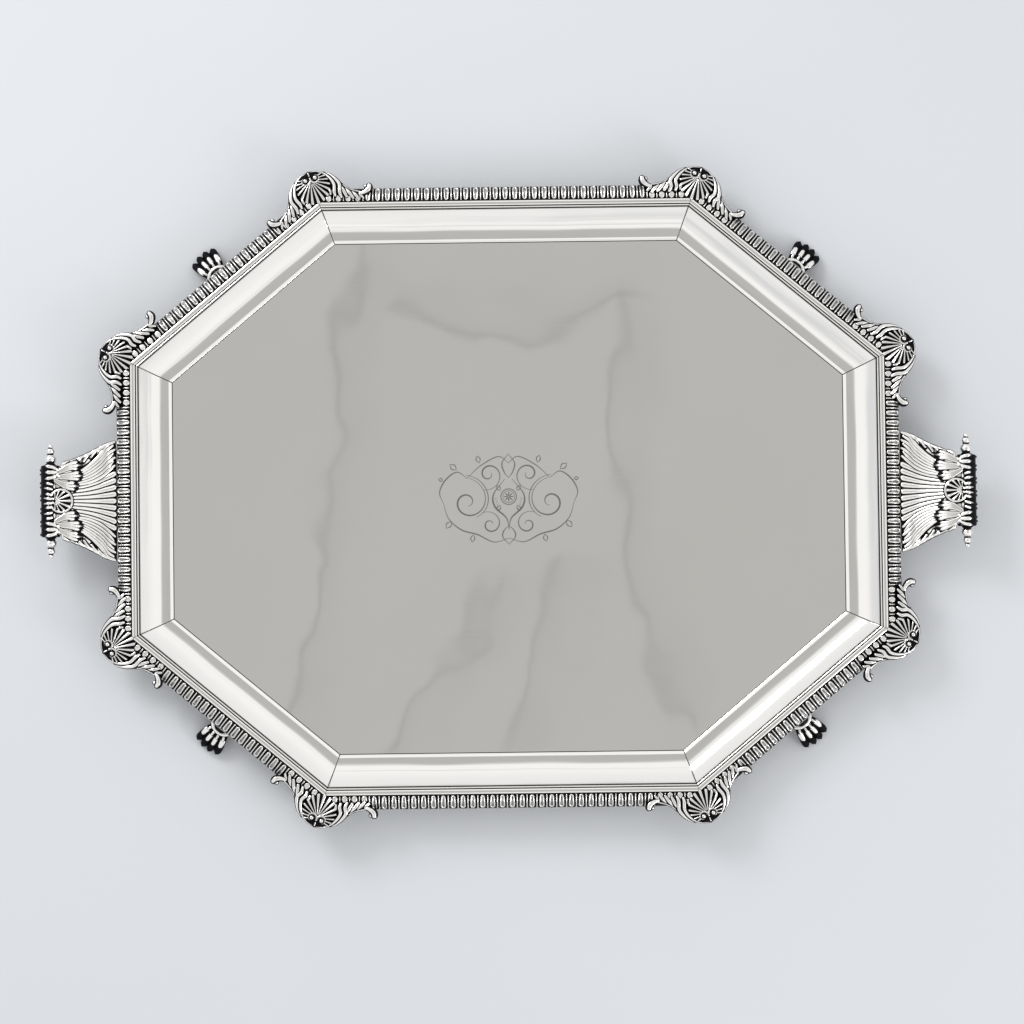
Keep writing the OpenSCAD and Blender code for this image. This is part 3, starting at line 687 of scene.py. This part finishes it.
def leaf_mount_parts(turn):
    def at(t, s, z):
        c, n = math.cos(turn / 2), math.sin(turn / 2)
        return (s * c - t * n, -s * n - t * c, z)

    def polar(degrees, r, z):
        a = math.radians(-degrees)
        return (SHELL_U + r * math.cos(a), r * math.sin(a), z)

    top = rim_z - 2.6
    outer = [(2, 22.6), (6, 22.4), (10, 21.2), (14, 18.6), (18, 15.6), (22, 13.6), (26, 12.4), (30.5, 11.8),
             (34.5, 11.2), (33.5, 7.6), (28, 6), (20, 6), (12, 6), (6, 6), (0, 7), (-4, 12)]
    half = [prism([at(t, s, 0)[:2] for t, s in outer], rim_z - 7.3, top),
            rib([polar(a, r, z) for a, r, z in ((0, 13.3, top + 0.2), (30, 13.5, top + 0.5), (58, 14.2, top + 1.1),
                                                 (82, 15.4, top + 2.0), (102, 16.7, top + 2.6))]
                + [at(11.6, 9.6, top + 3.0), at(12.6, 6.6, top + 2.8)], (0.5, 0.7, 1.0, 1.5, 1.9, 2.0, 1.4)),
            rib([polar(a, r, z) for a, r, z in ((52, 15.0, top + 0.2), (70, 16.9, top + 0.9), (88, 18.9, top + 1.6),
                                                 (103, 20.9, top + 2.0))]
                + [at(15.9, 9.6, top + 2.6), at(17.6, 5.9, top + 2.5)], (0.6, 1.1, 1.7, 2.1, 2.1, 1.4))]
    lobes = [
        ([(8.2, 21.2, 0.2), (13.6, 17.0, 1.0), (18.2, 11.9, 1.9), (21.6, 6.8, 2.1)], (0.6, 1.5, 2.2, 1.5)),
        ([(13.2, 17.8, 0.2), (18.6, 13.9, 0.9), (23.2, 10.2, 1.7), (26.9, 6.0, 2.0)], (0.5, 1.4, 2.1, 1.4)),
        ([(18.4, 14.0, 0.2), (24.0, 11.5, 0.9), (28.6, 8.6, 1.5), (31.6, 5.2, 1.9)], (0.5, 1.3, 1.9, 1.3)),
        ([(6.0, 13.0, 1.6), (8.3, 9.9, 2.4), (8.8, 7.4, 2.4)], (0.8, 1.3, 1.0)),
        ([(23.5, 11.8, 0.1), (29.0, 10.2, 0.8), (33.0, 8.4, 1.1), (35.0, 6.6, 1.1)], (0.5, 1.2, 1.5, 1.1)),
        ([(4.5, 22.6, 0.9), (9.5, 21.3, 0.9), (14.4, 18.1, 0.9), (18.8, 14.9, 0.9), (24, 12.6, 0.9), (30, 11.6, 0.9),
          (34.5, 11.2, 1.0)], (0.6, 1.0, 1.15, 1.15, 1.1, 1.0, 1.0)),
        ([(29.5, 9.6, 0.4), (33.6, 10.6, 0.9), (36.8, 12.4, 1.1), (38.6, 14.6, 1.2), (38.9, 16.9, 1.3)],
         (1.1, 2.1, 2.7, 2.9, 2.4)),
        ([(36.2, 14.6, 0.8), (35.9, 16.4, 1.0)], (1.4, 1.6))]
    for path, radii in lobes:
        half.append(rib([at(t, s, top + z) for t, s, z in path], radii))
    for drop in (1.6, 3.4):
        half.append(rib([at(t, s, top - drop) for t, s in (
            (33.2, 10.0), (37.2, 11.6), (39.6, 13.6), (40.3, 15.8), (39.4, 17.8), (37.6, 17.6))],
            (1.6, 1.6, 1.6, 1.5, 1.5, 1.4)))
    hub = turned([(0.5, rim_z - 7.2), (12.4, rim_z - 7.2), (13.5, rim_z - 6), (13.5, top), (13.0, top + 0.2),
                  (0.5, top + 0.2)], (SHELL_U, 0), 64)
    bud = [rib([(SHELL_U + 13.6, 0, top + 0.6), (SHELL_U + 12, 0, top + 1.6), (SHELL_U + 9.5, 0, top + 2.0)],
               (0.5, 0.8, 0.6))]
    return half + mirrored(half) + [hub] + bud


leaf_silver = cast_silver("leaf_silver", 0.17, 1.0, 0.00004, tone=(0.84, 0.83, 0.81, 1))
# painted shade: black below the top of the plate and on slopes, with only faces turned up left bright as painted
# highlights
leaf_castings = [cast(leaf_mount_parts(side_of(k)[4]), 0.27, lambda co: rim_z - 2.6 + 0 * co[:, 2], bite=0.05,
                      bright_slope=0.97, clear=1.1) for k in (0, 1)]
fit_corners("corner_leaves", "leaf_mount_", leaf_castings, leaf_silver)


# The shells: a separate cast scallop pinned over the middle of each corner. Its ribs fan from
# between two volutes at the outer edge and scallop the inner one.
def slab(X, Y, top, under):
    """A closed solid between two heights over the same grid of points."""
    m, n = X.shape
    index = np.arange(m * n).reshape(m, n)
    faces = [tuple(int(i) for i in q) for q in
             np.stack([index[:-1, :-1], index[1:, :-1], index[1:, 1:], index[:-1, 1:]], -1).reshape(-1, 4)]
    faces += [tuple(i + m * n for i in reversed(f)) for f in faces]
    border = list(index[0, :]) + list(index[1:, -1]) + list(index[-1, -2::-1]) + list(index[-2:0:-1, 0])
    border = [int(i) for i in border]
    faces += [(b, c, c + m * n, b + m * n) for b, c in zip(border, border[1:] + border[:1])]
    return np.vstack([np.column_stack([X.ravel(), Y.ravel(), z.ravel()]) for z in (top, under)]), faces


def scallop(radius, base, ribs, fan, floor, height, swell):
    """A ribbed shell round (0, 0): ribs fan fan degrees each way from (base, 0) towards -x."""
    per = 14
    n = ribs * per + 1
    x = np.linspace(-ribs / 2, ribs / 2, n)
    a = math.pi + np.radians(fan) * 2 * x / ribs
    crest = np.abs(np.cos(math.pi * (x + (0 if ribs % 2 else 0.5))))
    edge_r = radius * (0.955 + 0.045 * crest**0.6)
    off = a - math.pi
    length = base * np.cos(off) + np.sqrt(edge_r**2 - (base * np.sin(off)) ** 2)
    v = np.concatenate([np.linspace(0.05, 0.85, 22), [0.9, 0.94, 0.97, 0.99, 1.0]])[:, None]
    X, Y = base + v * length * np.cos(a), v * length * np.sin(a)
    round_off = np.sqrt(np.clip(1 - ((v - 0.45) / 0.62) ** 2, 0, 1))
    Z = (floor + height * (0.35 + 0.65 * round_off)
         + swell * v**0.8 * (crest**1.1 - 0.5) * np.minimum(length / radius, 1))
    return slab(X, Y, Z, np.full(X.shape, floor - 0.6))


def shifted(part, du, dv=0, dz=0):
    return part[0] + (du, dv, dz), part[1]


floor = rim_z - 2.3
shell_parts = [shifted(scallop(13.7, 5.8, 15, 116, floor, 3.0, 1.9), SHELL_U),
               turned([(0.5, rim_z - 3.35), (12.6, rim_z - 3.35), (12.9, floor - 0.2), (12.3, floor + 0.3),
                       (0.5, floor + 0.3)], (SHELL_U, 0), 64)]
curl = spiral(0, 0, 1.8, 4.4, -60, 0.95, 26)
volute = [rib([(SHELL_U + 6.9 + x, -4.1 - y, floor + 2.2 + 0.5 * (1 - i / 25)) for i, (x, y) in enumerate(curl)],
              (0.5, 0.6, 0.8, 1.0, 1.1, 0.8), steps=2),
          ball(SHELL_U + 6.9, -4.1, floor + 2.9, 2.3)]
shell_parts += volute + mirrored(volute)
shell_silver = cast_silver("shell_silver", 0.16, 1.0, 0.00003, tone=(0.82, 0.81, 0.79, 1))
# painted shade: black in the hollows, below the shell's floor and on slopes, with only the rib tops left bright as
# painted highlights
fit_corners("scallop_shell", "shell_", [cast(shell_parts, 0.2, lambda co: floor + 0 * co[:, 2], bite=0.035,
                                             spread=34, bright_slope=0.975, clear=2.3)], shell_silver)

# The handles: heavy castings, a palmette of flutes between two broad acanthus leaves, a shell in
# a round frame where the hand lies, and a tight roll at the end that hides the spindle.
rise = np.array([(12.2, 24.6), (20, 24.9), (26, 25.9), (32, 28.0), (38, 31.1), (44, 34.3), (50, 37.0),
                 (56, 38.9), (61.5, 40.0)])
rise[:, 1] += rim_z - 31 - 1.2


def plate_z(s, lift=0.0):
    return np.interp(s, rise[:, 0], rise[:, 1]) + lift


roll_s, roll_z, roll_r, roll_half = 63.5, rim_z + 1.5, 7.5, 28.4


def top_of(s):
    """Height of the handle's upper face: the plate, then the roll at its end."""
    over_roll = roll_z + np.sqrt(np.maximum(roll_r**2 - (s - roll_s) ** 2, 0))
    return np.where(s > 61.5, over_roll, plate_z(s))


def over(path):
    """A path of (s, t, lift) points laid over the upper face of the handle."""
    return [(q, t, float(top_of(np.array(q))) + lift) for q, t, lift in path]


def handle_width(s):
    return np.interp(s, (12.2, 20, 28, 36, 44, 52, 60, 64), (48.5, 45.4, 41.2, 36.8, 33, 30.4, 28.6, 28.0))


handle_s = np.linspace(13.0, 61.5, 60)
across = np.linspace(-1, 1, 81)
HS, HB = np.meshgrid(handle_s, across, indexing="ij")
HT = HB * (handle_width(HS) - 3.2)
top_z = plate_z(HS) - 1.2 * smooth(20 - HS, 0, 6) * (np.abs(HT) > 22)
handle_parts = [slab(HS, HT, top_z, plate_z(HS) - 2.6 - 1.2 * smooth(HS, 46, 60))]
for k in range(-4, 5):
    handle_parts.append(rib(over([(13.9, 5.4 * k, 0.4), (20, 4.65 * k, 0.7), (27, 3.8 * k, 0.8), (36, 3.0 * k, 0.7),
                                  (46.5, 2.45 * k, 0.5)]), (2.5, 2.45, 2.0, 1.55, 1.2), flat=0.9))
leaf = []
for k in range(7):
    tip = 13.6 + 1.4 * (k % 2)
    leaf.append(rib(over([(tip, 28.2 + 3.15 * k, 0.5), (17.8 + 0.35 * k, 24.6 + 3.25 * k, 1.1),
                          (25, 18.8 + 2.95 * k, 1.5), (34, 14.6 + 2.2 * k, 1.5), (46, 12.0 + 1.3 * k, 0.8)]),
                    (1.1, 1.8, 1.9, 1.5, 0.9), flat=0.9))
for tip, root, r in (((19.0, 45.4), (27, 38.5), 1.9), ((24.6, 42.4), (32.0, 35), 2.1),
                     ((30.6, 39.2), (37.5, 31.5), 2.1), ((36.4, 36.2), (42.5, 29.5), 2.0),
                     ((42.4, 33.6), (48.5, 27.0), 1.9), ((48.6, 31.4), (54, 26), 1.8)):
    middle = ((tip[0] + root[0]) / 2 + 1.0, (tip[1] + root[1]) / 2 + 0.6)
    leaf.append(rib(over([tip + (0.3,), middle + (1.2,), root + (1.0,)]), (r * 0.75, r, r * 0.6)))
for tip_s, tip_t, lean in ((39.2, 28.4, 3.0), (38.2, 20.0, 1.2), (41.6, 11.8, -0.6)):
    for j in (-1, 0, 1):
        back = 1.7 * abs(j)
        leaf.append(rib(over([(tip_s + back, tip_t + 2.75 * j, 1.5),
                              (tip_s + 3.6 + back * 0.4, tip_t + 2.5 * j - 0.1 * lean, 2.7),
                              (tip_s + 9, tip_t + 1.8 * j - 0.5 * lean, 2.7),
                              (59, 18.8 + 0.32 * (tip_t - 20) + 0.8 * j, 1.8)]),
                        (1.3, 1.75, 1.5, 0.9)))
for t, r in ((26.4, 1.7), (22.6, 1.9), (18.8, 1.7)):
    leaf.append(rib(over([(66.8, t + 0.4 * (t - 22.6), 0.2), (64.0, t + 0.25 * (t - 22.6), 1.0),
                          (60.0, t, 1.6), (56.5, 22.6 + 0.4 * (t - 22.6), 1.9)]),
                    (0.8, r, r, 0.9)))
leaf.append(ball(57.0, 24.6, float(plate_z(57)) + 1.9, 1.5))
leaf.append(ball(56.6, 20.4, float(plate_z(57)) + 1.9, 1.5))
for t, reach in ((13.6, 66.0), (9.6, 67.2), (5.0, 66.4), (1.6, 67.4)):
    leaf.append(rib(over([(reach, t + 0.6, 0.2), (64.2, t + 0.3, 0.8), (61.4, t * 0.96, 0.9)]), (0.8, 1.5, 1.2)))
handle_parts += leaf + mirrored(leaf)
roll = turned([(0.5, -roll_half), (6.2, -roll_half), (7.0, -28.1), (roll_r, -27.4), (roll_r, 27.4), (7.0, 28.1),
               (6.2, roll_half), (0.5, roll_half)], around=64)
handle_parts.append((roll[0][:, (0, 2, 1)] * (1, 1, -1) + (roll_s, 0, roll_z), roll[1]))
for k in range(-5, 6):
    path = [(roll_s + roll_r * math.cos(math.radians(a)), 5.1 * k + (0.9 if k % 2 else -0.9) * w,
             roll_z + roll_r * math.sin(math.radians(a))) for a, w in zip(np.linspace(25, -75, 5), (0, 1, 1, 1, 0))]
    handle_parts.append(rib(path, (0.5, 1.1, 1.2, 1.1, 0.5), steps=3))
medallion_s, frame_z = 54.3, float(plate_z(54.5)) + 1.0
handle_parts.append(turned([(0.5, frame_z - 4), (9.2, frame_z - 4), (9.8, frame_z - 1), (9.9, frame_z + 1.5),
                            (9.5, frame_z + 2.3), (8.3, frame_z + 2.4), (7.8, frame_z + 1.5), (7.7, frame_z + 0.4),
                            (0.5, frame_z + 0.6)], (medallion_s, 0), 64))
handle_parts.append(shifted(scallop(7.6, 4.6, 9, 104, frame_z + 0.1, 1.5, 2.6), medallion_s))
handle_parts += [ball(60.2, 1.6, frame_z + 2.2, 1.2), ball(60.2, -1.6, frame_z + 2.2, 1.2)]
handle_parts.append(prism([(3, -41), (13.4, -41), (13.4, 41), (3, 41)], rim_z - 11.3, rim_z - 8.45))
handle_parts.append(prism([(12.9, -47.5), (16, -45), (16, 45), (12.9, 47.5)], rim_z - 11.3, rim_z - 7.4))


def handle_ground(co):
    """The level below which the handle is darkened to black as painted shade: its plate, and the whole curved face of
    the roll, which turns away.
    """
    round_roll = roll_z + np.sqrt(np.maximum(7.3**2 - (co[:, 0] - roll_s) ** 2, 0)) + 0.2
    near_border = plate_z(co[:, 0]) - 0.1 - 2.0 * smooth(co[:, 0], 13.5, 23)
    level = np.where(co[:, 0] > 61.5, round_roll, near_border)
    inside_frame = np.hypot(co[:, 0] - medallion_s, co[:, 1]) < 8.0
    return np.where(inside_frame, frame_z + 0.8, level)


# painted shade: black below the plate level, on the roll and on slopes, with only faces turned up left bright as
# painted highlights
handle_mesh = silver_mesh("handle", *cast(handle_parts, 0.31, handle_ground, bite=0.1, bright_slope=0.86), crease=0)
handle_silver = cast_silver("handle_silver", 0.17, 1.0, 0.00005)
for k, side in ((0, "e"), (4, "w")):
    fit_piece("palmette_handle_" + side, handle_mesh, handle_silver, side_matrix(k), "handle_" + side)

# The finials: turned from rod and bored to go over the spindle that runs through each roll.
finial_profile = [(0.4, 0), (4.0, 0), (4.25, 0.25), (4.25, 0.8), (3.5, 1.2)]
finial_profile += [(4.6 * math.sin(a), 4.7 - 4.2 * math.cos(a)) for a in np.linspace(0.75, 2.45, 14)]
finial_profile += [(2.5, 8.5), (2.5, 8.9), (3.0, 9.2)]
finial_profile += [(3.3 * math.sin(a), 11.2 - 3.0 * math.cos(a)) for a in np.linspace(0.95, 2.4, 11)]
finial_profile += [(1.6, 13.7), (1.6, 14.0)]
finial_profile += [(1.95 * math.sin(a), 15.0 - 1.85 * math.cos(a)) for a in np.linspace(0.95, 3.05, 10)]
points, faces = turned(finial_profile, around=48)
# oxide and painted shade darken the foot against the roll and the two necks of the finial
neck = np.interp(points[:, 2], (0, 1.0, 1.4, 3, 7.5, 8.6, 9.0, 9.8, 12.6, 13.7, 14, 14.6, 17),
                 (0.7, 1, 0.8, 0, 0, 1, 1, 0, 0, 1, 1, 0, 0))
finial_mesh = silver_mesh("finial", points, faces, neck, crease=60)
finial_silver = cast_silver("finial_silver", 0.12, 1.0, 0.00002)
for side, k in (("e", 0), ("w", 4)):
    for end, sign in (("n", 1), ("s", -1)):
        s = sign if side == "e" else -sign
        turn = Matrix.Translation((roll_s / 1000, s * roll_half / 1000, roll_z / 1000)) @ Matrix.Rotation(
            -s * math.pi / 2, 4, "X")
        fit_piece("finial_turned_%s_%s" % (side, end), finial_mesh, finial_silver, side_matrix(k) @ turn,
                  "finial_%s_%s" % (side, end))

# The feet: cast lion's paws under the middle of each diagonal side. The toes show beyond the
# border, with a plain cuff at the ankle, deep clefts between the toes and a claw on each.
paw = [rib([(10.5, 0, 7.0), (9.5, 0, 12.5), (7.5, 0, 17.0), (5, 0, 20.8)], (6.6, 6.4, 5.4, 5.0), around=20),
       turned([(0.5, 0), (7.6, 0), (8.3, 0.7), (8.4, 3.0), (7.6, 5.4), (0.5, 6)], (15.5, 0), 40),
       turned([(0.5, 19.2), (5.4, 19.2), (6.0, 19.7), (6.0, 21.0), (0.5, 21.0)], (4.6, 0), 32)]
cuff = [(7.2 + 7.8 * math.cos(a), 9.2 * math.sin(a), 14.6 - 0.6 * abs(a)) for a in np.linspace(-1.2, 1.2, 11)]
paw.append(rib(cuff, (1.8, 2.7, 2.9, 2.7, 1.8), flat=0.36, steps=3))
for k in (-1.5, -0.5, 0.5, 1.5):
    far = 0.0 if abs(k) > 1 else 1.9
    paw.append(rib([(13, 3.6 * k, 9.6), (18 + far, 4.7 * k, 9.7), (22 + far, 5.4 * k, 8.5), (25.8 + far, 5.9 * k, 6.2),
                    (28.2 + far, 6.1 * k, 4.4), (28.9 + far, 6.1 * k, 3.0)], (2.6, 2.8, 2.95, 3.05, 3.05, 2.9)))
    paw.append(rib([(16.2 + far, 4.3 * k, 11.6), (18.8 + far, 4.9 * k, 11.6), (21.4 + far, 5.3 * k, 10.4)],
                   (1.5, 1.3, 0.6)))
    paw.append(rib([(28.2 + far, 6.1 * k, 6.7), (30.8 + far, 6.2 * k, 5.0), (31.7 + far, 6.2 * k, 2.6)],
                   (0.7, 0.9, 0.6)))
for k in (-1, 1):
    paw.append(rib([(15.5, 8.0 * k, 10.2), (20, 9.5 * k, 10.8), (24.5, 10.4 * k, 9.2)], (0.6, 1.0, 0.5)))
for k in (-1, 0, 1):
    paw.append(rib([(14, 3.8 * k, 7.4), (21, 5.2 * k, 6.4), (27.5, 6.0 * k, 3.2)], (2.6, 2.6, 2.4)))
for p, _ in paw:
    p[:, 2] = np.maximum(p[:, 2], 0)
# painted shade: the paw is black below a set height and on all but nearly level faces, so only the tops of the cuff
# and toes stay bright as painted highlights
paw_mesh = silver_mesh("lions_paw", *cast(paw, 0.3, lambda co: 9.2 + 0 * co[:, 2], bite=0.045, bright_slope=0.985), crease=0)
paw_silver = cast_silver("paw_silver", 0.2, 1.0, 0.00005, tone=(0.84, 0.83, 0.81, 1))
for k in (1, 3, 5, 7):
    fit_piece("lions_paw_" + SIDES[k], paw_mesh, paw_silver, side_matrix(k), "paw_" + SIDES[k])

# Under the border: the brackets that carry the paws and the spindles in the rolls are plain
# worked silver, left from the file and duller than what shows above.
hidden_silver = cast_silver("filed_silver", 0.3, 1.0, 0.00008, tone=(0.80, 0.78, 0.75, 1))
for name in ["foot_bracket_" + SIDES[k] for k in (1, 3, 5, 7)] + ["spindle_e", "spindle_w"]:
    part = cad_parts[name]
    part.data.materials.clear()
    part.data.materials.append(hidden_silver)

# The table the salver stands on, and the light: a pale matt top, a grey cloth overhead and a
# bright ring of white cloth round it, as a silver dealer would set up.
top = bpy.data.meshes.new("table")
top.from_pydata([(-6, -6, 0), (6, -6, 0), (6, 6, 0), (-6, 6, 0)], [], [(0, 1, 2, 3)])
table = bpy.data.objects.new("table_top", top)
bpy.context.scene.collection.objects.link(table)
matt = bpy.data.materials.new("pale_table")
matt.use_nodes = True
tree = matt.node_tree
shader = tree.nodes["Principled BSDF"]
shader.inputs["Roughness"].default_value = 0.7
grainy = node(tree, "ShaderNodeTexNoise", Scale=3.0, Detail=3.0)
tree.links.new(node(tree, "ShaderNodeTexCoord").outputs["Object"], grainy.inputs["Vector"])
tree.links.new(mix_colour(tree, grainy.outputs["Fac"], (0.60, 0.62, 0.65, 1), (0.64, 0.655, 0.68, 1)),
               shader.inputs["Base Color"])
top.materials.append(matt)
table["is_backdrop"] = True

world = bpy.data.worlds.new("studio")
bpy.context.scene.world = world
world.use_nodes = True
tree = world.node_tree
sky = tree.nodes["Background"]
split = node(tree, "ShaderNodeSeparateXYZ")
overhead = node(tree, "ShaderNodeTexCoord").outputs["Generated"]
tree.links.new(overhead, split.inputs[0])
ramp = node(tree, "ShaderNodeValToRGB")
stops = [(0.0, (0.25, 0.26, 0.28, 1)), (0.06, (0.40, 0.41, 0.43, 1)), (0.16, (0.88, 0.89, 0.90, 1)),
         (0.5, (1.0, 1.0, 1.0, 1)),
         (0.885, (0.99, 0.985, 0.98, 1)), (0.952, (0.525, 0.522, 0.513, 1)), (1.0, (0.515, 0.512, 0.503, 1))]
ramp.color_ramp.elements[0].position, ramp.color_ramp.elements[0].color = stops[0]
ramp.color_ramp.elements[1].position, ramp.color_ramp.elements[1].color = stops[-1]
for position, colour in stops[1:-1]:
    ramp.color_ramp.elements.new(position).color = colour
tree.links.new(split.outputs["Z"], ramp.inputs[0])
uneven = node(tree, "ShaderNodeTexNoise", Scale=2.6, Detail=3.0, Roughness=0.6)
tree.links.new(overhead, uneven.inputs["Vector"])
patchy = mapped(tree, uneven.outputs["Fac"], 0.5, 0.75, 0.0, 0.55)
around_sides = math_node(tree, "MULTIPLY", patchy, math_node(tree, "LESS_THAN", split.outputs["Z"], 0.9))
colour = mix_colour(tree, around_sides, ramp.outputs[0], (0.52, 0.54, 0.58, 1))
# the cloth hangs in loose folds, which the flat of the well shows as faint wandering lines
flat_x = math_node(tree, "DIVIDE", split.outputs["X"], split.outputs["Z"])
flat_y = math_node(tree, "DIVIDE", split.outputs["Y"], split.outputs["Z"])
wander = node(tree, "ShaderNodeTexNoise", Scale=22.0, Detail=3.0, Roughness=0.55)
tree.links.new(overhead, wander.inputs["Vector"])
loose = math_node(tree, "MULTIPLY_ADD", wander.outputs["Fac"], 0.02, -0.01)
above = math_node(tree, "GREATER_THAN", split.outputs["Z"], 0.97)
for along, across_fold, offset, slope, bow, first, last in (
        (flat_y, flat_x, -0.064, 0.12, 0.0, -0.045, 0.13), (flat_y, flat_x, 0.041, -0.3, 2.5, -0.045, 0.108),
        (flat_x, flat_y, 0.092, 0.0, 4.5, -0.044, 0.05), (flat_y, flat_x, -0.014, 0.6, 0.0, -0.045, 0.017),
        (flat_y, flat_x, 0.0105, 0.3, 0.0, -0.042, 0.022)):
    line = math_node(tree, "MULTIPLY_ADD", along, slope, offset)
    line = math_node(tree, "MULTIPLY_ADD", math_node(tree, "MULTIPLY", along, along), bow, line)
    line = math_node(tree, "ADD", line, loose)
    away = math_node(tree, "SUBTRACT", across_fold, line)
    crisp = mapped(tree, math_node(tree, "ABSOLUTE", away), 0.0003, 0.0022, 0.2, 0.0)
    shade = mapped(tree, away, 0.0, 0.022, 0.07, 0.0)
    right = math_node(tree, "MULTIPLY", shade, math_node(tree, "GREATER_THAN", away, 0.0))
    middle_of, half_run = (first + last) / 2, (last - first) / 2
    from_middle = math_node(tree, "ABSOLUTE", math_node(tree, "SUBTRACT", along, middle_of))
    ends = mapped(tree, from_middle, half_run * 0.8, half_run, 1.0, 0.0)
    fold = math_node(tree, "MULTIPLY", math_node(tree, "ADD", crisp, right), ends)
    colour = mix_colour(tree, math_node(tree, "MULTIPLY", fold, above), colour, (0.10, 0.10, 0.10, 1))
tree.links.new(colour, sky.inputs["Color"])
sky.inputs["Strength"].default_value = 1.0


def softbox(name, place, aim, width, power):
    light = bpy.data.lights.new(name, "AREA")
    light.shape, light.size, light.energy = "SQUARE", width, power
    lamp = bpy.data.objects.new(name, light)
    bpy.context.scene.collection.objects.link(lamp)
    direction = Matrix.Translation(place).to_translation() - Matrix.Translation(aim).to_translation()
    lamp.matrix_world = Matrix.Translation(place) @ direction.to_track_quat("Z", "Y").to_matrix().to_4x4()


softbox("key_softbox", (-1.4, 1.6, 1.5), (0, 0, 0), 0.9, 26)
softbox("fill_softbox", (1.8, -1.2, 1.1), (0, 0, 0), 0.7, 12)

camera = bpy.data.cameras.new("camera")
eye = bpy.data.objects.new("camera", camera)
bpy.context.scene.collection.objects.link(eye)
bpy.context.scene.camera = eye
camera.sensor_width, camera.lens = 36, 111.0
camera.clip_start, camera.clip_end = 0.05, 50
camera_distance = 2.5
tilt, roll_angle = math.radians(2.0), math.radians(0.7)
target = Matrix.Translation((0.0025, -0.0128, rim_z / 1000))
eye.matrix_world = (target @ Matrix.Rotation(tilt, 4, "X") @ Matrix.Rotation(-roll_angle, 4, "Z")
                    @ Matrix.Translation((0, 0, camera_distance)))
bpy.context.scene.view_settings.view_transform = "Standard"

low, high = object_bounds()
